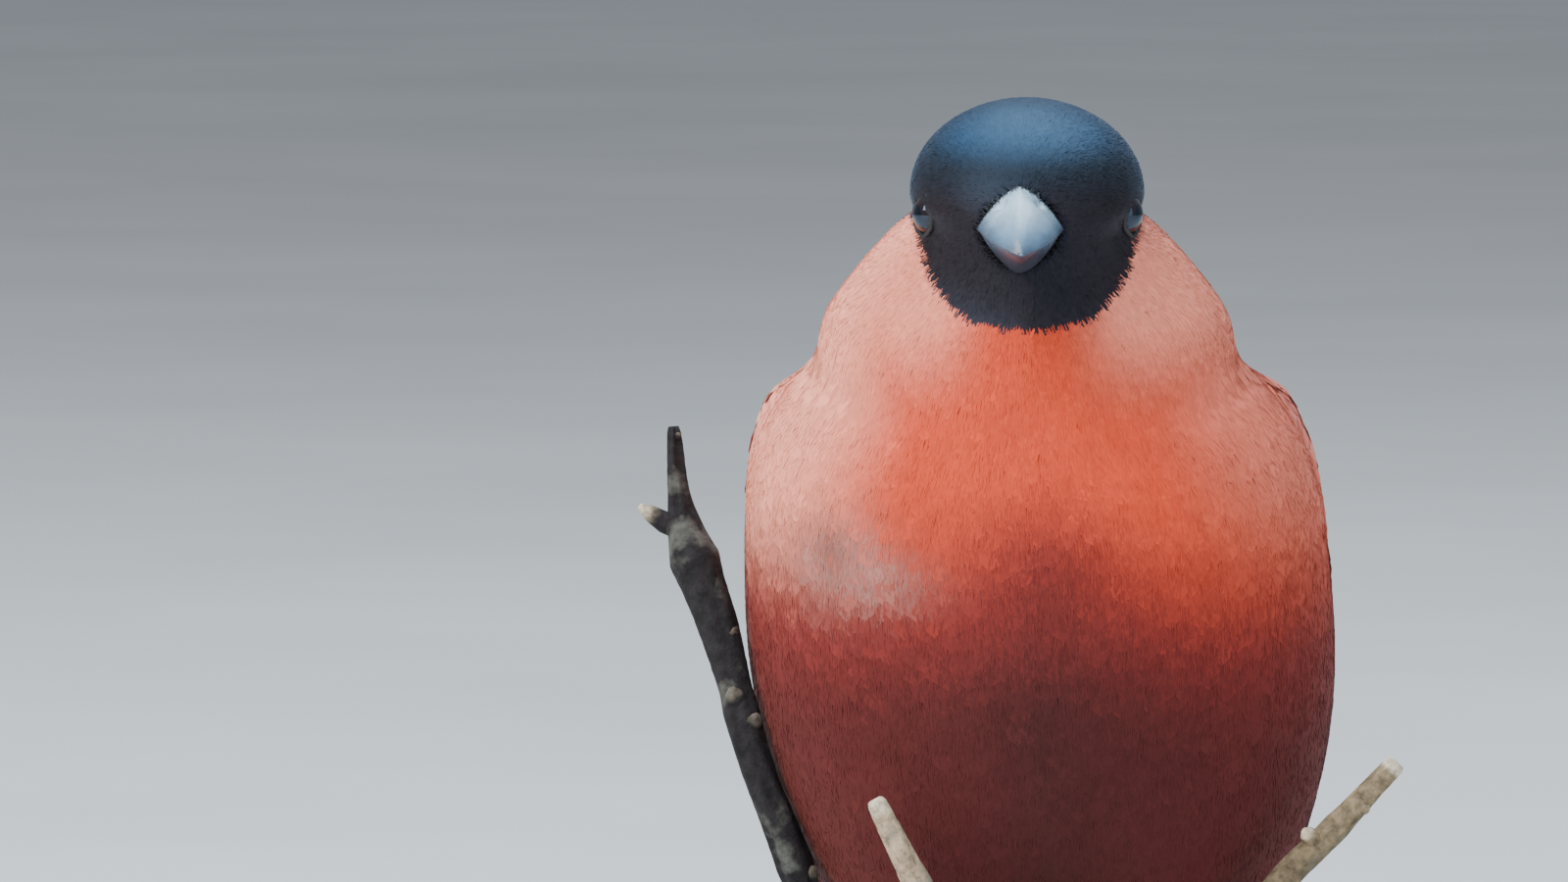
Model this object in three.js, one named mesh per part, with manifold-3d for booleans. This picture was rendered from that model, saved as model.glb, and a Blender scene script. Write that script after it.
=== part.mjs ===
// A male bullfinch, life size and fluffed up, gripping a cut length of branch on a plain display stand.
// Millimetres, +Z up. The bird faces -Y, so its left side is +X. The origin is on the base's underside,
// below the branch and 8 mm in front of the base's centre. Heights on the bird are given as depths below
// its crown, and places in front of or behind its middle as forward distances, which point to -Y.
import * as THREE from "three";
import { LoftGeometry } from "three/addons/geometries/LoftGeometry.js";
import { mergeVertices } from "three/addons/utils/BufferGeometryUtils.js";
import Module from "manifold-3d";

const wasm = await Module();
wasm.setup();

const radians = THREE.MathUtils.degToRad;
const lerp = THREE.MathUtils.lerp;
const smooth = THREE.MathUtils.smoothstep;

// Driving dimensions
const GAP = 0.3; // kept between parts that touch
const CROWN_HEIGHT = 145;
const HEAD_X = -4; // the head's middle, beside the middle of the feet
const LEAN = 3.4; // degrees that the trunk leans to the bird's left, below the neck
const NECK_DEPTH = 28;
const BROW = 9; // depth at which the crown's dome ends
const BODY_SIDES = 36;

const EYE = { side: 9.1, forward: 8.9, depth: 11.0, radius: 2.5, lidRadius: 2.3, lidThick: 0.5 };
const BILL = { x: -0.9, forward: 16.5, depth: 12.2, length: 10.6, halfWidth: 4.4, droop: 2.2 };
const PERCH = { forward: -1, depth: 113, radius: 6, from: -44, to: 46 };
const FOOT = { side: 8.5, toeRadius: 0.95 };
const TAIL = { root: 99, tip: 131, pairs: 6, halfWidth: 3.2, thick: 0.55 };
const WING = { front: 33.5, rear: 96, tip: 114, skin: 0.5, sunk: 1.7, vaneThick: 0.56 };
const BASE = { radius: 47, thick: 8, forward: -8 };
const ROD = { radius: 2.2, spread: 24 };

// The body as rings along its own line: how deep and how far forward each ring's middle lies, how far
// the ring's front edge dips, in degrees, and its reach to each side, to the front and to the rear.
// power is 2 where a ring's front is an ellipse, and less where it comes to a point, as at the face.
const RINGS = [
  { depth: 9, forward: 4.4, tilt: 12, side: 11.9, front: 13.8, rear: 13.2, power: 2 },
  { depth: 11.5, forward: 4.5, tilt: 12.5, side: 11.7, front: 14.1, rear: 14.2, power: 1.75 },
  { depth: 14, forward: 4.4, tilt: 13, side: 14.4, front: 14.1, rear: 15.2, power: 1.4 },
  { depth: 18, forward: 3.8, tilt: 14, side: 17.9, front: 14.8, rear: 16.8, power: 1.4 },
  { depth: 22, forward: 3.2, tilt: 15, side: 20.6, front: 16.8, rear: 18.2, power: 1.6 },
  { depth: 27, forward: 2.4, tilt: 16, side: 21.9, front: 20.0, rear: 19.8, power: 1.85 },
  { depth: 31, forward: 1.9, tilt: 17, side: 25.4, front: 23.2, rear: 21.2, power: 2 },
  { depth: 35, forward: 1.3, tilt: 18, side: 27.8, front: 25.8, rear: 22.6, power: 2 },
  { depth: 40, forward: 0.6, tilt: 19, side: 29.2, front: 28.2, rear: 23.8, power: 2 },
  { depth: 48, forward: -0.8, tilt: 20.5, side: 29.9, front: 30.6, rear: 24.6, power: 2 },
  { depth: 56, forward: -2.9, tilt: 22.5, side: 30.0, front: 31.6, rear: 24.6, power: 2 },
  { depth: 64, forward: -6.0, tilt: 25, side: 29.1, front: 31.4, rear: 23.6, power: 2 },
  { depth: 72, forward: -10.2, tilt: 28.5, side: 26.9, front: 29.6, rear: 21.4, power: 2 },
  { depth: 80, forward: -15.2, tilt: 32, side: 23.8, front: 26.0, rear: 18.0, power: 2 },
  { depth: 88, forward: -21.0, tilt: 34.5, side: 19.0, front: 20.4, rear: 13.8, power: 2 },
  { depth: 96, forward: -26.9, tilt: 36, side: 13.4, front: 14.0, rear: 9.6, power: 2 },
  { depth: 104, forward: -32.7, tilt: 36, side: 9.0, front: 8.2, rear: 6.2, power: 2 },
  { depth: 112, forward: -38.5, tilt: 36, side: 5.6, front: 3.2, rear: 3.0, power: 2 },
  { depth: 132, forward: -53.0, tilt: 36, side: 2, front: 1, rear: 1, power: 2 },
];
// Beyond the rump the folded wing leaves the body and keeps its own reach to the side and the rear.
const wingSpread = (depth) => 5 * smooth(depth, 80, 118);


// A column of the table at any depth, on a smooth curve through its rows.
function ringValue(depth, key) {
  const last = RINGS.length - 2;
  let i = 0;
  while (i < last && depth > RINGS[i + 1].depth) i++;
  const slope = (k) => {
    const a = RINGS[Math.max(k - 1, 0)];
    const b = RINGS[Math.min(k + 1, RINGS.length - 1)];
    return (b[key] - a[key]) / (b.depth - a.depth);
  };
  const [from, to] = [RINGS[i], RINGS[i + 1]];
  const span = to.depth - from.depth;
  const t = (Math.max(depth, BROW) - from.depth) / span;
  const [t2, t3] = [t * t, t * t * t];
  return (
    (2 * t3 - 3 * t2 + 1) * from[key] +
    (t3 - 2 * t2 + t) * span * slope(i) +
    (3 * t2 - 2 * t3) * to[key] +
    (t3 - t2) * span * slope(i + 1)
  );
}

// The ring's middle and the direction to its front edge.
function spine(depth) {
  const sideways = Math.tan(radians(LEAN)) * Math.max(0, depth - NECK_DEPTH);
  const tilt = radians(ringValue(depth, "tilt"));
  return {
    middle: new THREE.Vector3(HEAD_X + sideways, -ringValue(depth, "forward"), CROWN_HEIGHT - depth),
    front: new THREE.Vector3(0, -Math.cos(tilt), -Math.sin(tilt)),
  };
}

// A point of the body's surface, at an angle round the ring from the bird's left over its front.
function bodyPoint(depth, angle, lift = 0) {
  const dome = depth < BROW ? Math.sqrt(1 - ((BROW - depth) / BROW) ** 2) : 1;
  const { middle, front } = spine(depth);
  const ahead = Math.sin(angle) > 0;
  const power = ahead ? 2 / ringValue(depth, "power") : 1;
  const shaped = (value) => Math.sign(value) * Math.abs(value) ** power;
  const across = (ringValue(depth, "side") * dome + lift) * shaped(Math.cos(angle));
  const reach = (ringValue(depth, ahead ? "front" : "rear") * dome + lift) * shaped(Math.sin(angle));
  return middle.addScaledVector(front, reach).add(new THREE.Vector3(across, 0, 0));
}

// A point of the folded wing's surface, phi degrees behind the side of the body. hand is 1 on the left.
function wingPoint(hand, depth, phi, lift) {
  const { middle, front } = spine(depth);
  const spread = wingSpread(depth) + lift;
  const across = (ringValue(depth, "side") + spread) * Math.cos(radians(phi));
  const back = (ringValue(depth, "rear") + spread) * Math.sin(radians(phi));
  return middle.addScaledVector(front, -back).add(new THREE.Vector3(hand * across, 0, 0));
}

// A place on the bird's head or under its body.
const place = (x, forward, depth) => new THREE.Vector3(x, -forward, CROWN_HEIGHT - depth);

// A geometry as a solid, whichever way round its faces were given.
function solid(geometry) {
  const bare = new THREE.BufferGeometry().setAttribute("position", geometry.getAttribute("position"));
  bare.setIndex(geometry.index);
  const merged = mergeVertices(bare, 1e-4);
  const make = (index) =>
    new wasm.Manifold(
      new wasm.Mesh({ numProp: 3, vertProperties: merged.attributes.position.array, triVerts: index }),
    );
  const index = new Uint32Array(merged.index.array);
  const made = make(index);
  return made.volume() < 0 ? make(index.reverse()) : made;
}

// The largest closed surface of a solid.
function largest(shape) {
  return shape.decompose().reduce((a, b) => (a.volume() > b.volume() ? a : b));
}

const union = (shapes) => shapes.reduce((a, b) => a.add(b));

function meshOf(name, shape, color, roughness) {
  const { vertProperties, triVerts } = largest(shape).getMesh();
  const geometry = new THREE.BufferGeometry();
  geometry.setAttribute("position", new THREE.BufferAttribute(new Float32Array(vertProperties), 3));
  geometry.setIndex(new THREE.BufferAttribute(new Uint32Array(triVerts), 1));
  geometry.computeVertexNormals();
  const mesh = new THREE.Mesh(geometry, new THREE.MeshStandardMaterial({ color, roughness, metalness: 0 }));
  mesh.name = name;
  return mesh;
}

// A closed skin through sections of points, whichever way round they run.
function loft(sections) {
  const centre = (points) =>
    points.reduce((sum, point) => sum.add(point), new THREE.Vector3()).divideScalar(points.length);
  const start = centre(sections[0]);
  const ahead = centre(sections[1]).sub(start);
  const turn = new THREE.Vector3();
  sections[0].forEach((point, i) => {
    const next = sections[0][(i + 1) % sections[0].length].clone().sub(start);
    turn.add(point.clone().sub(start).cross(next));
  });
  const ordered = turn.dot(ahead) > 0 ? sections : sections.map((points) => [...points].reverse());
  return solid(new LoftGeometry(ordered, { capStart: true, capEnd: true }));
}

// A round tube along points, with a radius at each.
function tube(points, radii, sides, across = new THREE.Vector3(1, 0, 0)) {
  const sections = points.map((point, i) => {
    const before = points[Math.max(i - 1, 0)];
    const after = points[Math.min(i + 1, points.length - 1)];
    const along = after.clone().sub(before).normalize();
    const up = along.clone().cross(across).normalize();
    const sideways = up.clone().cross(along).normalize();
    return Array.from({ length: sides }, (_, k) => {
      const angle = (2 * Math.PI * k) / sides;
      return point
        .clone()
        .addScaledVector(sideways, radii[i] * Math.cos(angle))
        .addScaledVector(up, radii[i] * Math.sin(angle));
    });
  });
  return loft(sections);
}

// A closed plate whose two faces are split alike. at(along, across, face) gives a point, with face 1
// above and -1 below.
function plate(rows, columns, at) {
  const positions = [];
  for (const face of [1, -1])
    for (let i = 0; i <= rows; i++)
      for (let j = 0; j <= columns; j++) positions.push(...at(i / rows, j / columns, face).toArray());
  const under = (rows + 1) * (columns + 1);
  const index = [];
  const quad = (a, b, c, d) => index.push(a, b, c, a, c, d);
  const top = (i, j) => i * (columns + 1) + j;
  for (let i = 0; i < rows; i++)
    for (let j = 0; j < columns; j++) {
      const corners = [top(i, j), top(i, j + 1), top(i + 1, j + 1), top(i + 1, j)];
      quad(...corners);
      const [a, b, c, d] = corners.map((k) => k + under);
      index.push(a, c, b, a, d, c);
    }
  const rim = (a, b) => quad(b, a, a + under, b + under);
  for (let i = 0; i < rows; i++) {
    rim(top(i + 1, 0), top(i, 0));
    rim(top(i, columns), top(i + 1, columns));
  }
  for (let j = 0; j < columns; j++) {
    rim(top(0, j), top(0, j + 1));
    rim(top(rows, j + 1), top(rows, j));
  }
  const geometry = new THREE.BufferGeometry();
  geometry.setAttribute("position", new THREE.Float32BufferAttribute(positions, 3));
  geometry.setIndex(index);
  return solid(geometry);
}

// The body between two depths, grown by lift.
function bodyLength(from, to, steps, lift = 0) {
  const sections = Array.from({ length: steps + 1 }, (_, i) => {
    const depth = lerp(from, to, i / steps);
    return Array.from({ length: BODY_SIDES }, (_, k) =>
      bodyPoint(depth, (2 * Math.PI * k) / BODY_SIDES, lift),
    );
  });
  return loft(sections);
}

// Head: the crown's dome and the cheeks, with an eye socket and its lids on each side
function eyeAt(hand) {
  return place(HEAD_X + hand * EYE.side, EYE.forward, EYE.depth);
}
const ball = (centre, radius, across = 14, down = 10) =>
  solid(new THREE.SphereGeometry(radius, across, down).translate(...centre.toArray()));

function lid(hand) {
  const outward = new THREE.Vector3(hand * 0.93, -0.36, 0).normalize();
  const ring = new THREE.TorusGeometry(EYE.lidRadius, EYE.lidThick, 5, 18);
  ring.applyQuaternion(new THREE.Quaternion().setFromUnitVectors(new THREE.Vector3(0, 0, 1), outward));
  const out = outward.multiplyScalar(1.5);
  return solid(ring.translate(...eyeAt(hand).add(out).toArray()));
}
const HEAD_END = 20;
const domeDepths = [0.25, 1, 2.2, 3.8, 6, 8.4, 10.2, 12, 14, 16, 18, HEAD_END];
const headCore = loft(
  domeDepths.map((depth) =>
    Array.from({ length: BODY_SIDES }, (_, k) => bodyPoint(depth, (2 * Math.PI * k) / BODY_SIDES)),
  ),
);
const headGrown = bodyLength(2, 24, 11, GAP);
const sockets = [1, -1].map((hand) => ball(eyeAt(hand), EYE.radius + GAP));
const head = union([headCore, lid(1), lid(-1)]).subtract(union(sockets));

// Bill: a short, deep, round-backed cone. Its sections arch over or under the line of the mouth, which
// bends down to the tip.
const mouthDepth = (out) => BILL.depth + BILL.droop * (out / BILL.length) ** 2;
function mandible(length, halfWidth, height, sign) {
  const steps = 8;
  const sections = Array.from({ length: steps + 1 }, (_, i) => {
    const t = i / steps;
    const narrow = Math.max(0.1, (1 - t ** 2.2) ** 0.75);
    const shallow = Math.max(0.12, (1 - t ** 1.9) ** 0.8);
    return Array.from({ length: 11 }, (_, k) => {
      const s = 1 - k / 5;
      const rise = height * shallow * (1 - Math.abs(s) ** 1.7);
      return place(
        HEAD_X + BILL.x + halfWidth * narrow * s,
        BILL.forward + length * t,
        mouthDepth(length * t) - sign * (rise + GAP / 2),
      );
    });
  });
  return loft(sections);
}
const nostrils = [1, -1].map((hand) =>
  ball(place(HEAD_X + BILL.x + hand * 2.1, BILL.forward + 3.4, BILL.depth - 2.9), 0.6, 8, 6),
);
const billUpper = mandible(BILL.length, BILL.halfWidth, 4.1, 1)
  .subtract(headGrown)
  .subtract(union(nostrils));
const billLower = mandible(BILL.length - 1, BILL.halfWidth - 0.3, 4.2, -1).subtract(headGrown);

// Neck and torso. The torso has a shallow bed for each folded wing.
const TORSO_START = 27.5;
const TORSO_END = 92;
const neck = bodyLength(HEAD_END + GAP, TORSO_START, 4);

// Each wing's lower edge lies along the flank and its upper edge beside the back. Under its feathers is
// one flat mass of quills and small coverts, from sunk below the body's surface to skin above it.
const tipward = (depth) => smooth(depth, 86, WING.rear + 4);
const lowerEdge = (depth) => 22 - 3 * smooth(depth, 33, 44) + 19 * smooth(depth, 60, 100);
const upperEdge = (depth) => 50 + 25 * smooth(depth, 33, 48) - 17 * tipward(depth);

function wingMass(hand, extra, outer) {
  return plate(12, 6, (along, across, face) => {
    const depth = lerp(WING.front - extra, WING.rear + extra, along);
    const margin = ((extra * 180) / Math.PI) / (ringValue(depth, "side") + wingSpread(depth));
    const phi = lerp(lowerEdge(depth) - margin, upperEdge(depth) + margin, across);
    const thin = 1 - 0.65 * smooth(depth, 60, 100);
    const edge = 0.35 + 0.65 * Math.sin(Math.PI * across) ** 0.5;
    const top = outer ?? WING.skin * edge;
    return wingPoint(hand, depth, phi, face > 0 ? top : -WING.sunk * thin - extra);
  });
}
const beds = union([wingMass(1, 1.6 * GAP, 4), wingMass(-1, 1.6 * GAP, 4)]);
const torso = bodyLength(TORSO_START + GAP, TORSO_END, 18).subtract(beds);

// One feather of the folded wing, its root at from and its tip at to, each a depth and a phi. Its lower
// edge stands out over the feather below it, and its upper edge is tucked under the one above.
function wingVane(hand, { from, to, halfWidth, lift, tipLift, rows }) {
  return plate(rows, 2, (along, across, face) => {
    const depth = lerp(from[0], to[0], along);
    const round = along > 0.99 ? 0.34 : 0.7 + 0.3 * Math.sin(Math.PI * Math.min(1, along * 1.1) * 0.8);
    const side = across * 2 - 1;
    const width = halfWidth * round * (1 - 0.1 * side);
    const degreesWide = ((width * 180) / Math.PI) / (ringValue(depth, "side") + wingSpread(depth));
    const bow = 1.5 * Math.sin(Math.PI * along);
    const phi = lerp(from[1], to[1], along) + bow + side * degreesWide;
    const height = lerp(lift, tipLift, along) - side * 0.24;
    return wingPoint(hand, depth, phi, height + (face * WING.vaneThick) / 2);
  });
}

// count feathers side by side, each value running evenly from the first one's to the last one's.
function vaneRow(hand, count, rows, first, last) {
  const mix = (a, b, t) => (Array.isArray(a) ? a.map((value, k) => lerp(value, b[k], t)) : lerp(a, b, t));
  return Array.from({ length: count }, (_, i) => {
    const vane = { rows };
    for (const key of Object.keys(first)) vane[key] = mix(first[key], last[key], i / (count - 1));
    return wingVane(hand, vane);
  });
}

// A wing keeps clear of the body around its bed.
const wingClear = bodyLength(TORSO_START - 1, TORSO_END + 1, 16, GAP)
  .subtract(wingMass(1, 0.3 * GAP, 8))
  .subtract(wingMass(-1, 0.3 * GAP, 8));

function wing(hand) {
  const primaries = vaneRow(
    hand,
    6,
    3,
    { from: [76, 38], to: [101, 56], halfWidth: 2.8, lift: 0.5, tipLift: 0.8 },
    { from: [70, 25], to: [WING.tip, 44], halfWidth: 2.4, lift: 0.3, tipLift: -1.2 },
  );
  const secondaries = vaneRow(
    hand,
    4,
    3,
    { from: [66, 58], to: [94, 61], halfWidth: 3.5, lift: 0.9, tipLift: 1.3 },
    { from: [66, 32], to: [97, 45], halfWidth: 3.3, lift: 0.7, tipLift: 0.7 },
  );
  const tertials = vaneRow(
    hand,
    3,
    3,
    { from: [60, 68], to: [80, 68], halfWidth: 4.3, lift: 1.3, tipLift: 2.0 },
    { from: [62, 54], to: [91, 59], halfWidth: 4.3, lift: 1.1, tipLift: 1.7 },
  );
  const primaryCoverts = vaneRow(
    hand,
    2,
    2,
    { from: [54, 25], to: [74, 32], halfWidth: 2.6, lift: 0.6, tipLift: 0.9 },
    { from: [48, 22], to: [67, 27], halfWidth: 2.4, lift: 0.6, tipLift: 0.7 },
  );
  const greaterCoverts = vaneRow(
    hand,
    6,
    2,
    { from: [49, 67], to: [65, 68], halfWidth: 4.1, lift: 1.0, tipLift: 2.0 },
    { from: [51, 28], to: [68, 31], halfWidth: 3.6, lift: 0.7, tipLift: 1.3 },
  );
  const medianCoverts = vaneRow(
    hand,
    5,
    2,
    { from: [39, 60], to: [54, 64], halfWidth: 4.4, lift: 0.9, tipLift: 1.9 },
    { from: [39, 28], to: [55, 29], halfWidth: 4.0, lift: 0.6, tipLift: 1.3 },
  );
  return union([
    wingMass(hand, 0),
    ...primaries,
    ...secondaries,
    ...tertials,
    ...primaryCoverts,
    ...greaterCoverts,
    ...medianCoverts,
  ]).subtract(wingClear);
}

// Tail: the coverts' cone, and twelve feathers that fan out of it, the middle pair on top
function tailVane(hand, k) {
  const spread = k / (TAIL.pairs - 1);
  const tip = TAIL.tip + 1.6 * spread;
  return plate(4, 2, (along, across, face) => {
    const depth = lerp(TAIL.root, tip, along);
    const { middle, front } = spine(depth);
    const side = across * 2 - 1;
    const round = along > 0.99 ? 0.5 : 0.8 + 0.2 * along;
    const x = lerp(0.6 + 2.2 * spread, 1.7 + 8.6 * spread, along) + side * TAIL.halfWidth * round;
    const lift = lerp(0.9 - 0.9 * spread, 1.3 - 3.2 * spread, along) + side * 0.3 - (hand < 0 ? 0.3 : 0);
    return middle
      .addScaledVector(front, -lift - (face * TAIL.thick) / 2)
      .add(new THREE.Vector3(hand * x, 0, 0));
  });
}
const rectrices = [1, -1].flatMap((hand) =>
  Array.from({ length: TAIL.pairs }, (_, k) => tailVane(hand, k)),
);
const tail = union([bodyLength(TORSO_END + GAP, 112, 6), ...rectrices]);

// Legs: a feathered thigh out of the belly, then the bare shank and four clawed toes round the branch
const torsoGrown = bodyLength(TORSO_START, TORSO_END + 4, 14, 1.5 * GAP);
function thigh(hand) {
  const [top, bottom] = [place(hand * 9.5, -6, 86), place(hand * FOOT.side, PERCH.forward - 0.6, 100.6)];
  const points = [0, 0.35, 0.6, 0.8, 1].map((t) => top.clone().lerp(bottom, t));
  return tube(points, [7, 6.6, 5.4, 3.8, 2.0], 16).subtract(torsoGrown);
}

const perchCentre = (x) => place(x, PERCH.forward, PERCH.depth);

// A toe lies round the branch from its top to an end angle, drifting sideways, and ends in a claw.
function toe(hand, endAngle, drift, clawLength) {
  const steps = 6;
  const gripRadius = PERCH.radius + GAP + FOOT.toeRadius;
  const at = (angle, x, radius) =>
    perchCentre(x).add(new THREE.Vector3(0, -radius * Math.cos(angle), radius * Math.sin(angle)));
  const angleAt = (t) => lerp(Math.PI / 2, radians(endAngle), t);
  const points = [];
  const radii = [];
  for (let i = 0; i <= steps; i++) {
    const t = i / steps;
    points.push(at(angleAt(t), hand * FOOT.side + drift * t ** 0.7, gripRadius));
    radii.push(FOOT.toeRadius * (1 - 0.22 * t) * (i % 2 ? 0.9 : 1));
  }
  const turn = Math.sign(endAngle - 90) * (clawLength / gripRadius);
  const claw = [0, 0.35, 0.7, 1].map((t) => {
    const arched = gripRadius + 0.5 * Math.sin(Math.PI * t * 0.8);
    return at(radians(endAngle) + turn * t, hand * FOOT.side + drift, arched);
  });
  return [tube(points, radii, 7), tube(claw, [0.62, 0.5, 0.34, 0.12], 5)];
}

function foot(hand, perchGrown) {
  const ankle = place(hand * FOOT.side, PERCH.forward, PERCH.depth - PERCH.radius - GAP - 1.1);
  const knee = place(hand * FOOT.side, PERCH.forward - 0.6, 100.6 + 2 * GAP);
  const shank = tube([knee, knee.clone().lerp(ankle, 0.5), ankle], [0.95, 0.9, 1.05], 8);
  const toes = [
    ...toe(hand, -28, 0.4 * hand, 4.2),
    ...toe(hand, 4, 4.0 * hand, 3.8),
    ...toe(hand, 4, -4.0 * hand, 3.8),
    ...toe(hand, 196, -0.6 * hand, 5.0),
  ];
  return union([shank, ball(ankle, 1.35, 8, 6), ...toes]).subtract(perchGrown);
}

// Perch: a cut length of branch with three pruned side twigs
function perchBody(lift = 0) {
  const steps = 16;
  const points = [];
  const radii = [];
  for (let i = 0; i <= steps; i++) {
    const x = lerp(PERCH.from - lift, PERCH.to + lift, i / steps);
    const knot = 0.9 * Math.exp(-(((x - 27) / 5) ** 2)) + 0.7 * Math.exp(-(((x + 29) / 4) ** 2));
    const away = Math.max(0, Math.abs(x) - 14);
    points.push(perchCentre(x).add(new THREE.Vector3(0, 0.004 * away * away, -0.003 * away * away)));
    radii.push(PERCH.radius * (1 - 0.005 * away) + knot + lift);
  }
  return tube(points, radii, 14, new THREE.Vector3(0, 1, 0));
}
const perchGrown = perchBody(GAP);

function twig(points, radii, buds, perch) {
  const curve = new THREE.CatmullRomCurve3(points);
  const steps = 14;
  const samples = curve.getSpacedPoints(steps);
  const radiusAt = (t) => {
    const scaled = t * (radii.length - 1);
    const i = Math.min(Math.floor(scaled), radii.length - 2);
    return lerp(radii[i], radii[i + 1], scaled - i);
  };
  const stem = tube(
    samples,
    samples.map((_, i) => radiusAt(i / steps) * (i % 3 ? 1 : 1.1)),
    8,
  );
  const knobs = buds.map(([t, x, y, z, length]) => {
    const start = curve.getPointAt(t);
    const way = new THREE.Vector3(x, y, z).normalize();
    const stops = [0, 0.45, 0.8, 1].map((s) => start.clone().addScaledVector(way, length * s));
    return tube(stops, [0.8, 1.05, 0.75, 0.3], 6, new THREE.Vector3(0, 1, 0.2));
  });
  return union([stem, ...knobs]).subtract(perch);
}
const headSide = (x) => HEAD_X + x;
const twigLeft = twig(
  [
    place(-15, PERCH.forward, 112),
    place(-20.5, 1, 101),
    place(headSide(-22.8), 4.5, 80),
    place(headSide(-28), 5, 66),
    place(headSide(-31.2), 3, 54),
    place(headSide(-35.0), 1, 43),
    place(headSide(-35.8), 0, 34),
  ],
  [2.6, 2.0, 1.6, 1.8, 1.6, 1.6, 0.6],
  [
    [0.84, -1, 0, 0.5, 3.6],
    [0.6, -0.4, -1, 0.8, 2.4],
    [0.42, 0.9, -0.6, 0.6, 2.4],
    [0.3, -1, 0, 0.6, 2.4],
  ],
  perchGrown,
);
const twigFront = twig(
  [
    place(1, PERCH.forward + 3, 112),
    place(-2, 12, 107),
    place(-6, 20, 97),
    place(headSide(-7.8), 24.5, 84.5),
    place(headSide(-11.4), 27, 77.2),
    place(headSide(-15.5), 28, 68.8),
  ],
  [2.6, 2.4, 2.3, 2.1, 1.7, 1.15],
  [[0.45, 1, -0.4, 0.6, 2.6]],
  perchGrown,
);
const twigRight = twig(
  [
    place(17.5, PERCH.forward + 2, 112),
    place(18, 10, 104),
    place(headSide(21), 14.5, 86),
    place(headSide(25.6), 15.5, 78.4),
    place(headSide(30), 15, 74),
    place(headSide(37.3), 15, 66.2),
  ],
  [2.5, 2.2, 1.9, 1.7, 1.5, 1.1],
  [
    [0.71, -0.2, -0.4, 0.9, 2.2],
    [0.84, 0.6, -0.4, -0.3, 1.9],
  ],
  perchGrown,
);

// Stand: a turned base and two short rods up to the branch
function standBase() {
  const [r, t] = [BASE.radius, BASE.thick];
  const profile = [
    [0, 0],
    [r - 1, 0],
    [r, 1],
    [r, t - 2.6],
    [r - 0.7, t - 1.2],
    [r - 2.4, t],
    [0, t],
  ].map(([x, y]) => new THREE.Vector2(x, y));
  const lathe = new THREE.LatheGeometry(profile, 44).rotateX(Math.PI / 2);
  return solid(lathe);
}

function standRod(hand) {
  const bottom = BASE.thick + GAP;
  const top = CROWN_HEIGHT - PERCH.depth;
  const rod = new THREE.CylinderGeometry(ROD.radius, ROD.radius, top - bottom, 18).rotateX(Math.PI / 2);
  return solid(rod.translate(hand * ROD.spread, -PERCH.forward, (top + bottom) / 2)).subtract(perchGrown);
}

const model = new THREE.Group();
const add = (name, shape, color, roughness) => model.add(meshOf(name, shape, color, roughness));
const BLACK_PLUMAGE = 0x1b1e26;
const RED_PLUMAGE = 0xd06a55;
const BARK = 0x4a4238;
add("head", head, BLACK_PLUMAGE, 0.5);
add("neck", neck, RED_PLUMAGE, 0.8);
add("torso", torso, RED_PLUMAGE, 0.8);
add("tail", tail, 0x16171f, 0.45);
add("bill_upper", billUpper, 0x7d8b98, 0.35);
add("bill_lower", billLower, 0x6d7a86, 0.35);
add("perch", perchBody(), BARK, 0.85);
add("perch_twig_left", twigLeft, BARK, 0.85);
add("perch_twig_front", twigFront, BARK, 0.85);
add("perch_twig_right", twigRight, BARK, 0.85);
add("stand_base", standBase().translate([0, -BASE.forward, 0]), 0x5b4632, 0.5);
for (const [hand, side] of [
  [1, "left"],
  [-1, "right"],
]) {
  add(`eye_${side}`, ball(eyeAt(hand), EYE.radius), 0x120c0a, 0.08);
  add(`wing_${side}`, wing(hand), 0x23242b, 0.5);
  add(`thigh_${side}`, thigh(hand), 0xb9a7a0, 0.8);
  add(`foot_${side}`, foot(hand, perchGrown), 0x4b3a36, 0.55);
  add(`stand_rod_${side}`, standRod(hand), 0x8f8a80, 0.3);
}

export default model;
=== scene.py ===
import math

import bpy
import numpy as np
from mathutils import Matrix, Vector
from mathutils.bvhtree import BVHTree
from mathutils.kdtree import KDTree


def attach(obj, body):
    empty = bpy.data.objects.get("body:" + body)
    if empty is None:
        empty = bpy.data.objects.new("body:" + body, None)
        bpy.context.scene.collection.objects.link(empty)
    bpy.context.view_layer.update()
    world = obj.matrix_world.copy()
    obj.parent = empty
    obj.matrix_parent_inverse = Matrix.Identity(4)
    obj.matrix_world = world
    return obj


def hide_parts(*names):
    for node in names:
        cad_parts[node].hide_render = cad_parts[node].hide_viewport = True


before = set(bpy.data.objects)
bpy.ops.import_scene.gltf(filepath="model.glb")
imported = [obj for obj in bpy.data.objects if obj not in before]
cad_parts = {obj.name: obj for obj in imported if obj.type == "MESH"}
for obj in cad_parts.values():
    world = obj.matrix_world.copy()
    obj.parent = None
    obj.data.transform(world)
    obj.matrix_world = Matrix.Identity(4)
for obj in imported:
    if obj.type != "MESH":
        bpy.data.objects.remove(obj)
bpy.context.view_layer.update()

# The camera faces the bird from straight in front, a few degrees above level, from 1.5 m away. Its
# picture is 160 mm wide where the bird sits, 0.1 mm to a pixel, and ends below the bird's belly.
CROWN = 145.0
HEAD_X = -4.0
PICTURE_WIDTH = 1600
PICTURE_MIDDLE = (800, 450)
CROWN_PIXEL = (1047, 103)
MM_PER_PIXEL = 0.1
CAMERA_DISTANCE = 1.5
CAMERA_RISE = math.radians(4)
SENSOR_WIDTH = 36

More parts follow.
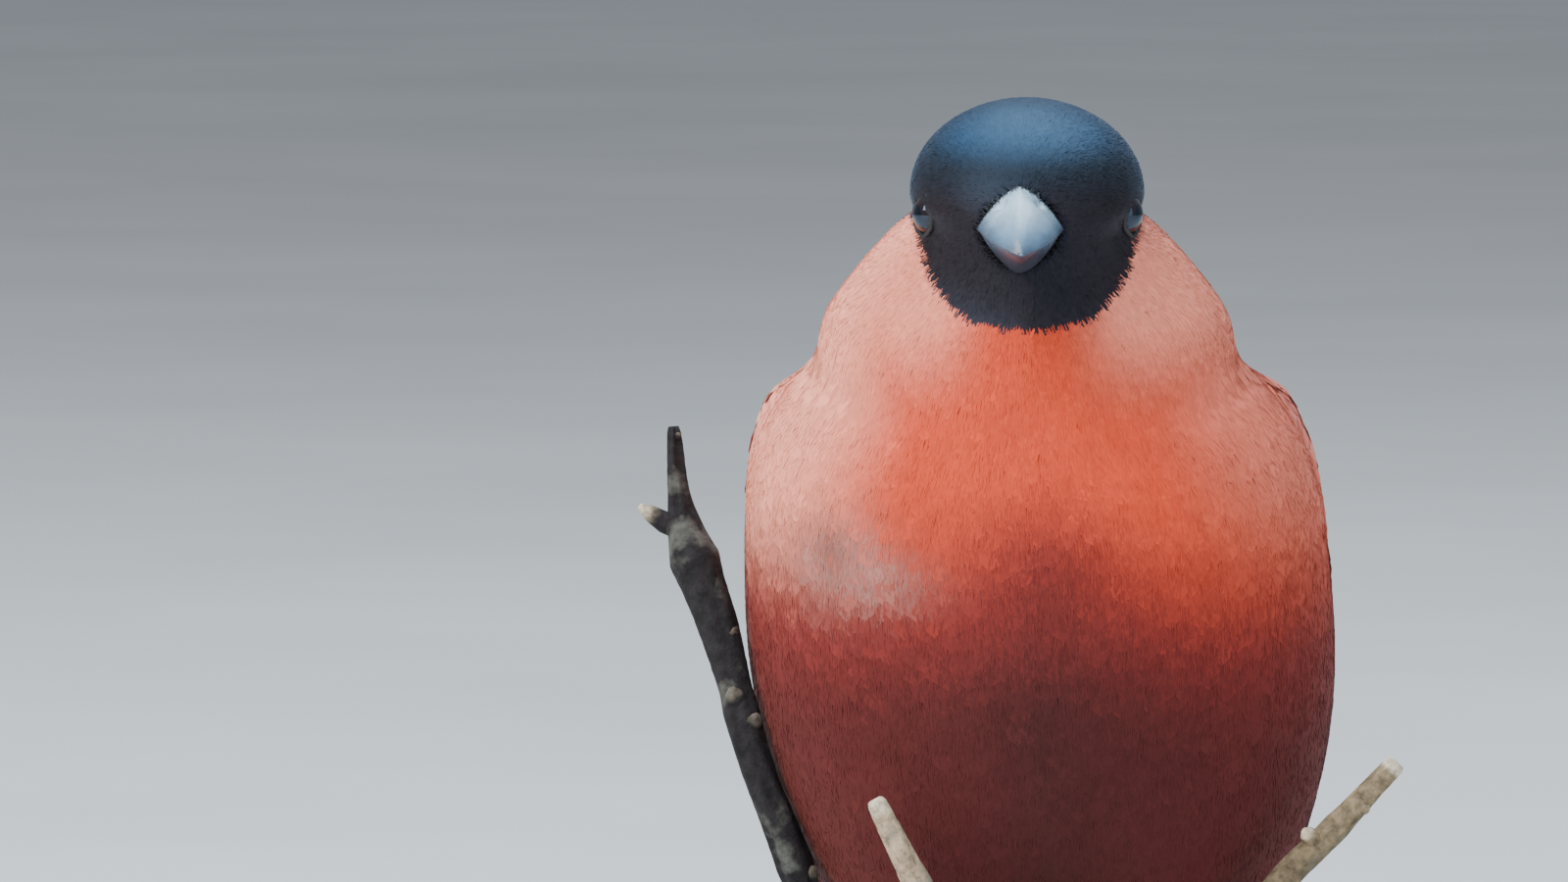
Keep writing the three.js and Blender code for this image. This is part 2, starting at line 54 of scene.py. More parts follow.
camera_data = bpy.data.cameras.new("camera")
camera_data.sensor_width = SENSOR_WIDTH
camera_data.lens = SENSOR_WIDTH * CAMERA_DISTANCE / (PICTURE_WIDTH * MM_PER_PIXEL / 1000)
camera = bpy.data.objects.new("camera", camera_data)
aim_x = HEAD_X + (PICTURE_MIDDLE[0] - CROWN_PIXEL[0]) * MM_PER_PIXEL
aim_z = CROWN - (PICTURE_MIDDLE[1] - CROWN_PIXEL[1]) * MM_PER_PIXEL
step_back = Vector((0, -math.cos(CAMERA_RISE), math.sin(CAMERA_RISE))) * CAMERA_DISTANCE
camera.location = Vector((aim_x, 0, aim_z)) / 1000 + step_back
camera.rotation_euler = (math.pi / 2 - CAMERA_RISE, 0, 0)
bpy.context.scene.collection.objects.link(camera)
bpy.context.scene.camera = camera

# The skin is one hide from the crown to the tail's root and down both thighs. It carries every feather
# and shows only as dull down between them, in the colours of the feathers above it. All sizes on the
# bird are in millimetres, measured down from its crown.

# Each ring of the body: how deep and how far forward its middle lies, how far its front edge dips, in
# degrees, its reach to the side, front and rear, and how round its front is.
RINGS = np.array([
    (9, 4.4, 12, 11.9, 13.8, 13.2, 2),
    (11.5, 4.5, 12.5, 11.7, 14.1, 14.2, 1.75),
    (14, 4.4, 13, 14.4, 14.1, 15.2, 1.4),
    (18, 3.8, 14, 17.9, 14.8, 16.8, 1.4),
    (22, 3.2, 15, 20.6, 16.8, 18.2, 1.6),
    (27, 2.4, 16, 21.9, 20.0, 19.8, 1.85),
    (31, 1.9, 17, 25.4, 23.2, 21.2, 2),
    (35, 1.3, 18, 27.8, 25.8, 22.6, 2),
    (40, 0.6, 19, 29.2, 28.2, 23.8, 2),
    (48, -0.8, 20.5, 29.9, 30.6, 24.6, 2),
    (56, -2.9, 22.5, 30.0, 31.6, 24.6, 2),
    (64, -6.0, 25, 29.1, 31.4, 23.6, 2),
    (72, -10.2, 28.5, 26.9, 29.6, 21.4, 2),
    (80, -15.2, 32, 23.8, 26.0, 18.0, 2),
    (88, -21.0, 34.5, 19.0, 20.4, 13.8, 2),
    (96, -26.9, 36, 13.4, 14.0, 9.6, 2),
    (104, -32.7, 36, 9.0, 8.2, 6.2, 2),
    (112, -38.5, 36, 5.6, 3.2, 3.0, 2),
    (132, -53.0, 36, 2, 1, 1, 2),
], float)
FORWARD, TILT, SIDE, FRONT, REAR, POWER = range(1, 7)
BROW_DEPTH = 9.0
NECK_DEPTH = 28.0
LEAN = math.tan(math.radians(3.4))
COAT_DEPTH = ((0, 0.5), (14, 0.55), (24, 0.8), (34, 1.1), (60, 1.2), (84, 1.2), (96, 1.0), (112, 0.6))
SKIN_END, SKIN_STEP, SKIN_COLUMNS, SKIN_VOXEL, DOWN_DULL = 111, 0.9, 96, 0.0007, 0.8
FORM_END, FORM_STEP, FORM_COLUMNS = 127, 0.5, 160
FOOT_SIDE = 8.5
THIGH_TOP, THIGH_END = (9.5, -6, 86), (FOOT_SIDE, -1.6, 100.6)
THIGH_RADII = ((0, 7), (0.35, 6.6), (0.6, 5.4), (0.8, 3.8), (1, 2.0))
THIGH_COAT, THIGH_ROWS = 0.7, 24
EYE_SIDE, EYE_FORWARD, EYE_DEPTH, EYE_RADIUS = 9.1, 8.9, 11.0, 2.5

# The male's colours, as linear values.
# The crown's blue is a painted reflection of the sky on the cap's gloss.
CAP_BLACK, CROWN_REFLECTION_BLUE, CHIN_BLACK = (0.012, 0.014, 0.019), (0.017, 0.054, 0.112), (0.019, 0.013, 0.013)
# The side pink is partly a painted highlight on the cheeks and flanks.
BREAST_RED, SIDE_PINK_AND_HIGHLIGHT = (0.58, 0.060, 0.024), (0.92, 0.34, 0.24)
# The belly's deeper red is partly painted shade, and the brown below it is painted shade.
BELLY_RED_AND_SHADE, BELLY_SHADE = (0.215, 0.024, 0.021), (0.056, 0.012, 0.012)
PARTED_GREY, BACK_GREY = (0.34, 0.175, 0.15), (0.19, 0.22, 0.26)
WHITE, TAIL_BLACK = (0.74, 0.72, 0.70), (0.010, 0.011, 0.020)

# Where they change. The first row is depths over which one colour gives way to the next. The edge of
# the grey back is in degrees behind the body's side at a depth, the cap's lower edge is a depth at a
# place forward of the middle, and the bib's is a reach to the side at a depth.
BELLY, BELLY_SHADE_DEPTHS, RUMP, UNDERTAIL, TAIL = (38, 56), (49, 66), (78, 80), (84, 86.5), (98, 99)
BACK_EDGE = ((10, 34), (18, 32), (27, 28), (34, 27), (42, 29), (52, 31), (58, 44), (90, 44))
CAP_EDGE = ((-13, 17.5), (-10, 17), (-5, 14.5), (0, 12), (5, 10.9), (9, 11))
BIB_EDGE = ((9.5, 13), (13, 11.6), (16.4, 11.1), (19, 9.9), (21, 8.2), (22.3, 6.1), (22.9, 3.2), (23.5, -4))
EYE_PATCH = 4.0


def place(x, forward, depth):
    """A place on the bird: forward of its middle and deep below its crown."""
    return np.array([x, -forward, CROWN - depth], float)


def along_table(value, table):
    """Reads a table of (value, result) pairs, in straight steps between them."""
    return np.interp(value, *zip(*table))


def curve(t, span, start, end, start_slope, end_slope):
    """A smooth curve from start to end as t runs from 0 to 1 over span."""
    return (
        (2 * t**3 - 3 * t**2 + 1) * start
        + (t**3 - 2 * t**2 + t) * span * start_slope
        + (3 * t**2 - 2 * t**3) * end
        + (t**3 - t**2) * span * end_slope
    )


def ring_value(depth, column):
    """A column of RINGS at each depth, on a smooth curve through its rows."""
    x, y = RINGS[:, 0], RINGS[:, column]
    slope = np.empty_like(y)
    slope[1:-1] = (y[2:] - y[:-2]) / (x[2:] - x[:-2])
    slope[0] = (y[1] - y[0]) / (x[1] - x[0])
    slope[-1] = (y[-1] - y[-2]) / (x[-1] - x[-2])
    depth = np.maximum(np.asarray(depth, float), x[0])
    i = np.clip(np.searchsorted(x, depth, side="right") - 1, 0, len(x) - 2)
    span = x[i + 1] - x[i]
    return curve((depth - x[i]) / span, span, y[i], y[i + 1], slope[i], slope[i + 1])


def ring_frame(depth):
    """The middle of the ring at each depth and the direction of its front edge."""
    depth = np.asarray(depth, float)
    tilt = np.radians(ring_value(depth, TILT))
    aside = HEAD_X + LEAN * np.maximum(0, depth - NECK_DEPTH)
    middle = np.stack([aside, -ring_value(depth, FORWARD), CROWN - depth], -1)
    return middle, np.stack([0 * tilt, -np.cos(tilt), -np.sin(tilt)], -1)


def body_point(depth, angle, lift=0.0):
    """Points on the plumage's outer form. The angle runs from the bird's left over its front."""
    depth, angle, lift = np.broadcast_arrays(*(np.asarray(a, float) for a in (depth, angle, lift)))
    dome = np.sqrt(np.clip(1 - ((BROW_DEPTH - np.minimum(depth, BROW_DEPTH)) / BROW_DEPTH) ** 2, 0, 1))
    middle, front = ring_frame(depth)
    ahead = np.sin(angle) > 0
    power = np.where(ahead, 2 / ring_value(depth, POWER), 1)
    reach = np.where(ahead, ring_value(depth, FRONT), ring_value(depth, REAR)) * dome + lift
    side = ring_value(depth, SIDE) * dome + lift
    across = side * np.sign(np.cos(angle)) * np.abs(np.cos(angle)) ** power
    onward = reach * np.sign(np.sin(angle)) * np.abs(np.sin(angle)) ** power
    point = middle + front * onward[..., None]
    point[..., 0] += across
    return point


def degrees_behind(angle):
    """How far an angle of body_point lies behind the body's side."""
    return np.degrees(np.arcsin(np.clip(-np.sin(angle), -1, 1)))


def unit(vectors):
    return vectors / np.maximum(np.linalg.norm(vectors, axis=-1, keepdims=True), 1e-9)


def thigh_ends(hand):
    """The middles of a thigh's top and end. hand is 1 at the bird's left and -1 at its right."""
    return [place(hand * x, forward, depth) for x, forward, depth in (THIGH_TOP, THIGH_END)]


def thigh_point(hand, along, angle, lift=0.0):
    """Points on a thigh's outer form, along from 0 in the belly to 1 at the shank."""
    along, angle = np.broadcast_arrays(np.asarray(along, float), np.asarray(angle, float))
    top, end = thigh_ends(hand)
    axis = unit(end - top)
    sideways = unit(np.cross(axis, [0, 1, 0]))
    ahead = np.cross(sideways, axis)
    radius = along_table(along, THIGH_RADII) + lift
    centre = top + (end - top) * along[..., None]
    turned = np.cos(angle)[..., None] * sideways + np.sin(angle)[..., None] * ahead
    return centre + radius[..., None] * turned


def depth_rows(last, step):
    """Depths of a mesh's rows, closer together on the crown's dome."""
    dome = BROW_DEPTH * (1 - np.cos(np.linspace(0.02, np.pi / 2, 26)))[:-1]
    return np.concatenate([dome, np.arange(BROW_DEPTH, last + step / 2, step)])


def ease(value, low, high):
    """0 below low, 1 above high and smooth between them."""
    t = np.clip((np.asarray(value, float) - low) / (high - low), 0, 1)
    return t * t * (3 - 2 * t)


def spot(across, drop, x, depth, wide, tall):
    """1 at a place on the bird's front, fading to 0 over wide and tall."""
    return np.exp(-(((across - x) / wide) ** 2) - (((drop - depth) / tall) ** 2))


def tint(base, other, amount):
    """base coloured over by amount of other."""
    amount = np.asarray(amount, float)[..., None]
    return np.asarray(base, float) * (1 - amount) + np.asarray(other, float) * amount


def markings_and_painted_light(points, depth, angle, ragged):
    """Colours at points on the body, among them painted light and shade, and how far each is black.
    ragged, about 1 either way, frays the borders."""
    across = points[:, 0] - HEAD_X - LEAN * np.maximum(0, depth - NECK_DEPTH)
    forward = -points[:, 1]
    drop = CROWN - points[:, 2]
    behind = degrees_behind(angle)
    wide = np.abs(across) / ring_value(depth, SIDE)

    # Red breast. The paler pink on the cheeks and flanks is partly painted highlight, strongest on the
    # right flank, which is painted as lit from that side.
    left_flank_highlight = 0.42 * (1 - 0.8 * ease(drop, 38, 52))
    right_flank_highlight = 1 - 0.5 * ease(drop, 44, 58)
    flank = ease(wide, 0.48, 1.05) * np.where(across > 0, left_flank_highlight, right_flank_highlight)
    cheek = 0.7 * (1 - ease(drop, 20, 34)) * ease(wide, 0.15, 0.6)
    colour = tint(BREAST_RED, SIDE_PINK_AND_HIGHLIGHT, np.maximum(flank, cheek))
    # Darker down the belly: first a deeper red that is partly painted shade, then a brown that is painted
    # shade, darkest down the middle. It reaches higher in the middle of the breast and lower on the bird's
    # left.
    deep = drop + 1.5 * ragged + 5.5 * spot(across, drop, 1, 45, 8, 8) - 3.4 * ease(across, 2, 22)
    colour = tint(colour, BELLY_RED_AND_SHADE, ease(deep, *BELLY))
    colour = tint(colour, BELLY_SHADE, ease(deep + 3 * (1 - wide), *BELLY_SHADE_DEPTHS) * (0.62 + 0.38 * (1 - wide)))

    # The parted, greyer feathers of the right flank and the dark notch in them.
    parted = 0.75 * spot(across, drop, -20.2, 47, 4.6, 4.6) + 0.45 * spot(across, drop, -15.5, 49, 5, 2.6)
    colour = tint(colour, PARTED_GREY, np.clip(parted * (1 + 0.6 * ragged) * (forward > 0), 0, 0.75))
    colour *= 1 - 0.35 * spot(across, drop, -20.6, 45.5, 1.5, 2.4)[:, None]

    back_from = along_table(depth, BACK_EDGE)
    colour = tint(colour, BACK_GREY, ease(behind + 2 * ragged, back_from - 2, back_from + 2))
    colour = tint(colour, WHITE, ease(depth + ragged, *RUMP) * ease(behind, 15, 20))
    colour = tint(colour, WHITE, ease(depth + ragged, *UNDERTAIL) * (behind < 20))
    colour = tint(colour, TAIL_BLACK, ease(depth + ragged, *TAIL) * (behind > 12))

    # Black cap, bib and surround of the eyes. The blue on the crown is a painted reflection of the sky on
    # its gloss, strongest on the top and front of the crown and weaker at its sides.
    from_eye = np.stack([np.abs(across) - EYE_SIDE, forward - EYE_FORWARD, drop - EYE_DEPTH], -1)
    frayed = 0.4 * ragged
    black = np.maximum.reduce([
        ease(along_table(forward, CAP_EDGE) - drop + frayed, -0.2, 0.2),
        ease(along_table(drop, BIB_EDGE) - np.abs(across) + frayed, -0.2, 0.2) * (forward > 3),
        ease(EYE_PATCH - np.linalg.norm(from_eye, axis=-1), -0.2, 0.2),
    ])
    blacks = tint(CAP_BLACK, CHIN_BLACK, ease(drop, 6, 11) * ease(forward, 2, 8))
    crown = (1 - ease(drop + 0.3 * ragged, 2.4, 6.6)) * (1 - 0.5 * ease(np.abs(across), 6, 11))
    blacks = tint(blacks, CROWN_REFLECTION_BLUE, crown * (0.3 + 0.7 * ease(forward, 0, 9)))
    return colour * (1 - black[:, None]) + blacks * black[:, None], black


def mesh_piece(name, points, faces):
    """A smooth-shaded piece of points in millimetres and faces that all have as many corners."""
    points = np.asarray(points, np.float32).reshape(-1, 3) / 1000
    faces = np.asarray(faces, np.int32)
    mesh = bpy.data.meshes.new(name)
    mesh.vertices.add(len(points))
    mesh.vertices.foreach_set("co", points.ravel())
    mesh.loops.add(faces.size)
    mesh.loops.foreach_set("vertex_index", faces.ravel())
    mesh.polygons.add(len(faces))
    mesh.polygons.foreach_set("loop_start", np.arange(0, faces.size, faces.shape[1], dtype=np.int32))
    mesh.polygons.foreach_set("use_smooth", np.ones(len(faces), bool))
    mesh.update(calc_edges=True)
    piece = bpy.data.objects.new(name, mesh)
    bpy.context.scene.collection.objects.link(piece)
    return piece


def grid_faces(rows, columns):
    """Four-cornered faces of a grid of points whose last column meets its first."""
    i, j = np.meshgrid(np.arange(rows - 1), np.arange(columns), indexing="ij")
    a = (i * columns + j).ravel()
    b = (i * columns + (j + 1) % columns).ravel()
    return np.stack([a, b, b + columns, a + columns], -1)


def outward(points, faces):
    """The same triangles, turned round if they enclose a negative volume."""
    corner = points[faces]
    volume = np.einsum("ij,ij->i", corner[:, 0], np.cross(corner[:, 1], corner[:, 2])).sum()
    return points, faces if volume > 0 else faces[:, ::-1]


def closed_tube(grid):
    """Points and triangles of a grid of rings, its two ends closed by a fan."""
    rows, columns = grid.shape[:2]
    quads = grid_faces(rows, columns)
    ring = np.arange(columns)
    start, end = rows * columns, rows * columns + 1
    first = np.stack([np.full(columns, start), (ring + 1) % columns, ring], -1)
    ring = ring + (rows - 1) * columns
    last = np.stack([np.full(columns, end), ring, np.roll(ring, -1)], -1)
    points = np.concatenate([grid.reshape(-1, 3), [grid[0].mean(0), grid[-1].mean(0)]])
    return outward(points, np.concatenate([quads[:, [0, 1, 2]], quads[:, [0, 2, 3]], first, last]))


def joined(parts):
    """Several (points, faces) as one."""
    points, faces, offset = [], [], 0
    for part_points, part_faces in parts:
        points.append(part_points)
        faces.append(part_faces + offset)
        offset += len(part_points)
    return np.concatenate(points), np.concatenate(faces)


def plain_mesh(piece):
    """Takes the result of a piece's modifiers as its plain mesh."""
    result = bpy.data.meshes.new_from_object(piece.evaluated_get(bpy.context.evaluated_depsgraph_get()))
    piece.modifiers.clear()
    piece.data = result
    result.name = piece.name
    return piece


def paint(piece, colours):
    """Keeps a colour for each point of the piece, which its material reads."""
    rgba = np.concatenate([colours, np.ones((len(colours), 1))], -1).astype(np.float32)
    layer = piece.data.color_attributes.new("plumage", "FLOAT_COLOR", "POINT")
    layer.data.foreach_set("color", rgba.ravel())


def fix(piece, material, slot, *nodes):
    """Dresses a piece and fixes it on the model, where it stands for these CAD nodes."""
    piece.data.materials.append(material)
    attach(piece, "root")
    if nodes:
        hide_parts(*nodes)


class Finish:
    """A node material round one Principled shader, whose plain values are set on its own sockets."""

    def __init__(self, name, **sockets):
        self.material = bpy.data.materials.new(name)
        self.material.use_nodes = True
        self.tree = self.material.node_tree
        self.shader = self.tree.nodes["Principled BSDF"]
        for socket, value in sockets.items():
            self.shader.inputs[socket.replace("_", " ")].default_value = value

    def feed(self, socket, value):
        """Links another node's output into a socket, or sets it to a plain value."""
        if isinstance(value, bpy.types.NodeSocket):
            self.tree.links.new(value, socket)
        else:
            socket.default_value = value

    def node(self, kind, settings=(), **inputs):
        made = self.tree.nodes.new("ShaderNode" + kind)
        for key, value in dict(settings).items():
            setattr(made, key, value)
        for key, value in inputs.items():
            self.feed(made.inputs[key.replace("_", " ")], value)
        return made

    def place(self, x=1.0, y=1.0, z=1.0, uv=None):
        """Object coordinates in metres, or a UV map's, scaled along each axis."""
        if uv:
            where = self.node("UVMap", {"uv_map": uv}).outputs["UV"]
        else:
            where = self.node("TexCoord").outputs["Object"]
        return self.node("Mapping", Vector=where, Scale=(x, y, z)).outputs["Vector"]

    def painted(self):
        """The colour kept at each point."""
        return self.node("Attribute", {"attribute_name": "plumage"}).outputs["Color"]

    def noise(self, where, scale, detail=4.0, roughness=0.55):
        made = self.node("TexNoise", Vector=where, Scale=scale, Detail=detail, Roughness=roughness)
        return made.outputs["Fac"]

    def ramp(self, source, *stops):
        made = self.node("ValToRGB", Fac=source)
        elements = made.color_ramp.elements
        for element, (position, colour) in zip(elements, stops):
            element.position = position
            element.color = (colour, colour, colour, 1) if np.isscalar(colour) else (*colour, 1)
        return made.outputs["Color"]

    def mix(self, a, b, share, blend="MIX"):
        made = self.node("Mix", {"data_type": "RGBA", "blend_type": blend})
        for socket, value in zip((made.inputs[6], made.inputs[7], made.inputs[0]), (a, b, share)):
            self.feed(socket, (*value, 1) if isinstance(value, tuple) else value)
        return made.outputs[2]

    def shaded(self, colour, source, *stops):
        """The colour darkened by a ramp of greys over source."""
        return self.mix(colour, self.ramp(source, *stops), 1.0, "MULTIPLY")

    def finish(self, colour, roughness=None, bumps=()):
        """Links the colour and roughness, and bumps as (height, distance in metres) pairs."""
        self.feed(self.shader.inputs["Base Color"], colour)
        if roughness is not None:
            self.feed(self.shader.inputs["Roughness"], roughness)
        for height, distance in bumps:
            before = self.shader.inputs["Normal"].links
            made = self.node("Bump", Height=height, Distance=distance)
            if before:
                self.feed(made.inputs["Normal"], before[0].from_socket)
            self.feed(self.shader.inputs["Normal"], made.outputs["Normal"])
        return self.material


skin_angles = np.linspace(0, 2 * np.pi, SKIN_COLUMNS, endpoint=False)
skin_rows = depth_rows(SKIN_END, SKIN_STEP)[:, None]
skin_parts = [closed_tube(body_point(skin_rows, skin_angles, -along_table(skin_rows, COAT_DEPTH)))]
for hand in (1, -1):
    along_thigh = np.linspace(0, 1, THIGH_ROWS)[:, None]
    skin_parts.append(closed_tube(thigh_point(hand, along_thigh, skin_angles[::3], -THIGH_COAT)))
skin = mesh_piece("skin", *joined(skin_parts))
hide = skin.modifiers.new("one_hide", "REMESH")
hide.mode = "VOXEL"
hide.voxel_size = SKIN_VOXEL
hide.use_smooth_shade = True
plain_mesh(skin)

# The plumage's outer form as one closed set of faces, on which places are looked up.
form_depths = depth_rows(FORM_END, FORM_STEP)
form_angles = np.linspace(0, 2 * np.pi, FORM_COLUMNS, endpoint=False)
form_grid = body_point(form_depths[:, None], form_angles)
form_faces = grid_faces(*form_grid.shape[:2])
form_depth = np.repeat(form_depths[:-1], len(form_angles))
form_angle = np.tile(form_angles, len(form_depths) - 1)
form_tree = BVHTree.FromPolygons(form_grid.reshape(-1, 3).tolist(), form_faces.tolist())

skin_points = np.zeros(len(skin.data.vertices) * 3, np.float32)
skin.data.vertices.foreach_get("co", skin_points)
skin_points = skin_points.reshape(-1, 3).astype(float) * 1000
nearest = np.array([form_tree.find_nearest(point)[2] for point in skin_points.tolist()])
skin_colours, _ = markings_and_painted_light(skin_points, form_depth[nearest], form_angle[nearest], np.zeros(len(nearest)))
paint(skin, skin_colours * DOWN_DULL)

down = Finish("skin_down", Roughness=0.9, Specular_IOR_Level=0.15, Sheen_Weight=0.25, Sheen_Roughness=0.6)
down_tufts = down.noise(down.place(), 1500)
down_colour = down.shaded(down.painted(), down_tufts, (0.3, 0.55), (0.7, 1.0))
down_material = down.finish(down_colour, bumps=[(down_tufts, 0.0002)])
fix(skin, down_material, "red_plumage", "head", "neck", "torso", "thigh_left", "thigh_right")

# The small feathers cover the whole hide like shingles, their roots sunk in the down and their tips
# lying back along the body. Under a loose top of single barbs are the feathers themselves, each a thin
# leaf that comes to a point. Both are smallest round the bill and longest on the belly.
PICK = np.random.default_rng(11)
FEATHER_LENGTH = ((0, 2.2), (10, 2.1), (18, 2.6), (26, 3.6), (34, 4.8), (48, 6), (84, 7), (96, 8), (109, 7))
THIGH_FEATHER_LENGTH = 3.6
NEAR_BILL = ((4.5, 0.6), (11, 1))
BARBS_PER_AREA = ((0, 32), (12, 32), (24, 22), (36, 14), (109, 12))
BARB_WIDTH = ((0, 0.1), (12, 0.1), (24, 0.13), (36, 0.16), (109, 0.17))
BILL_X, BILL_DEPTH = HEAD_X - 0.9, 12.2
BILL_BASE = place(BILL_X, 15.0, 12.0)
WING_FRONT, WING_REAR, WING_TIP = 33.5, 96.0, 114.0
WING_EDGE_SWELL = 2.1
COAT_END, EYE_CLEAR, BILL_CLEAR = 108.5, 2.75, (4.0, 3.6)
THIGH_PALE, THIGH_GREY = (0.62, 0.56, 0.53), (0.50, 0.34, 0.31)
FEATHER_PITCH, FEATHER_WIDTH, FEATHERS_APART, THIGH_BARBS = 0.23, 0.55, 0.87, 1.6
FEATHER_SUNK, BARB_SUNK = 0.55, 0.1
TRIES_PER_FEATHER = 6
PATCH = 0.003
MOST_TRIANGLES = 190000

# One feather: along from root to tip, across in widths and up in thicknesses. Its rim is sharp and its
# middle is raised above and below. Each shape is its points, its triangles, which way each of them
# looks, and its rim.
LEAF_SIDE = ((0, 0.10), (0.3, 0.42), (0.6, 0.50), (0.86, 0.36))
LEAF_POINTS = np.array(
    [(u, w, -1.2 * w * w) for u, w in LEAF_SIDE]
    + [(1.0, 0, 0)]
    + [(u, -w, -1.2 * w * w) for u, w in LEAF_SIDE]
    + [(0.3, 0, 0.5), (0.7, 0, 0.5), (0.3, 0, -0.5), (0.7, 0, -0.5)]
)
LEAF_TOP = [(5, 9, 0), (5, 6, 9), (6, 10, 9), (6, 7, 10), (7, 8, 10), (8, 4, 10)]
LEAF_TOP += [(9, 1, 0), (9, 10, 1), (10, 2, 1), (10, 3, 2), (10, 4, 3)]
LEAF_UNDER = [tuple(k + 2 if k > 8 else k for k in face[::-1]) for face in LEAF_TOP]
LEAF_RIM = ((0, 1), (1, 2), (2, 3), (3, 4), (4, 8), (7, 8), (6, 7), (5, 6), (0, 5))
LEAF = (LEAF_POINTS, np.array(LEAF_TOP + LEAF_UNDER), np.repeat((1, -1), len(LEAF_TOP)), LEAF_RIM)

# One barb: a sliver of four faces, widest at its middle.
BARB = (
    np.array([(0, 0, 0), (0.5, -0.5, 0), (0.5, 0.5, 0), (1, 0, 0)]),
    np.array([(0, 1, 2), (3, 2, 1), (0, 2, 3), (1, 0, 3)]),
    np.array((1, 1, -1, -1)),
    ((0, 1), (0, 2), (1, 3), (2, 3)),
)


def lower_edge(depth):
    """The folded wing's edge along the flank, in degrees behind the body's side."""
    return 22 - 3 * ease(depth, 33, 44) + 19 * ease(depth, 60, 100)


def upper_edge(depth):
    """The folded wing's edge beside the back."""
    return 50 + 25 * ease(depth, 33, 48) - 17 * ease(depth, 86, WING_REAR + 4)


def inside_wing(depth, behind):
    """How far inside the folded wing's edges."""
    wide = np.radians(1) * ring_value(depth, SIDE)
    along = np.minimum(depth - WING_FRONT, WING_TIP - 4 - depth)
    edges = np.minimum(behind - lower_edge(depth), upper_edge(depth) - behind) * wide
    return np.minimum(edges, along)


# Feathers grow on the faces of the body's form and of the two thighs' below it. on_thigh is 1 on the
# left thigh, -1 on the right one and 0 on the body.
thigh_quads = grid_faces(40, 48)
thigh_turns = np.linspace(0, 2 * np.pi, 48, endpoint=False)
coat_parts = [(form_grid.reshape(-1, 3), form_faces)]
for hand in (1, -1):
    thigh = thigh_point(hand, np.linspace(0.12, 1, 40)[:, None], thigh_turns)
    coat_parts.append((thigh.reshape(-1, 3), thigh_quads))
coat_points, coat_faces = joined(coat_parts)
coat_tree = BVHTree.FromPolygons(coat_points.tolist(), coat_faces.tolist())
on_thigh = np.repeat((0, 1, -1), (len(form_faces), len(thigh_quads), len(thigh_quads)))
coat_depth = np.concatenate([form_depth, np.full(2 * len(thigh_quads), 90.0)])
coat_angle = np.concatenate([form_angle, np.full(2 * len(thigh_quads), np.pi / 2)])
coat_corners = coat_points[coat_faces]
coat_centre = coat_corners.mean(1)
coat_normals = np.cross(coat_corners[:, 2] - coat_corners[:, 0], coat_corners[:, 3] - coat_corners[:, 1])
coat_area = np.linalg.norm(coat_normals, axis=1) / 2
coat_normals /= np.maximum(2 * coat_area, 1e-9)[:, None]
for hand in (0, 1, -1):
    here = on_thigh == hand
    middle = np.mean(thigh_ends(hand), axis=0) if hand else ring_frame(coat_depth[here])[0]
    turn = np.einsum("ij,ij->i", coat_normals[here], coat_centre[here] - middle)
    coat_normals[here] *= np.sign(turn.sum())

# Where feathers swell over the wing's edge, the coat's own slope is found from its raised corners.
point_depth, point_angle = np.meshgrid(form_depths, form_angles, indexing="ij")
swell = WING_EDGE_SWELL * ease(inside_wing(point_depth, degrees_behind(point_angle)), -5, 1.8).ravel()
coat_swell = np.zeros(coat_corners.shape[:2])
coat_swell[: len(form_faces)] = swell[form_faces]
swollen = coat_corners + coat_normals[:, None] * coat_swell[..., None]
coat_slopes = unit(np.cross(swollen[:, 2] - swollen[:, 0], swollen[:, 3] - swollen[:, 1]))
coat_slopes *= np.sign(np.einsum("ij,ij->i", coat_slopes, coat_normals))[:, None]


def feather_length(face):
    """Length of the feathers at each face of the coat."""
    length = along_table(coat_depth[face], FEATHER_LENGTH)
    length *= along_table(np.linalg.norm(coat_centre[face] - BILL_BASE, axis=-1), NEAR_BILL)
    return np.where(on_thigh[face] != 0, THIGH_FEATHER_LENGTH, length)


def grows(face):
    """Whether feathers grow there: not on the eyes, in the bill, under the wings or past the tail."""
    x, y, z = coat_centre[face].T
    depth, forward, drop = coat_depth[face], -y, CROWN - z
    eye = np.stack([np.abs(x - HEAD_X) - EYE_SIDE, forward - EYE_FORWARD, drop - EYE_DEPTH], -1)
    wide, tall = BILL_CLEAR
    in_bill = (((x - BILL_X) / wide) ** 2 + ((drop - BILL_DEPTH + 0.1) / tall) ** 2 < 1) & (forward > 12)
    covered = (inside_wing(depth, degrees_behind(coat_angle[face])) > 3.6) & (depth > 48)
    body = (depth < COAT_END) & ~covered & (np.linalg.norm(eye, axis=-1) > EYE_CLEAR) & ~in_bill
    return np.where(on_thigh[face] != 0, True, body)


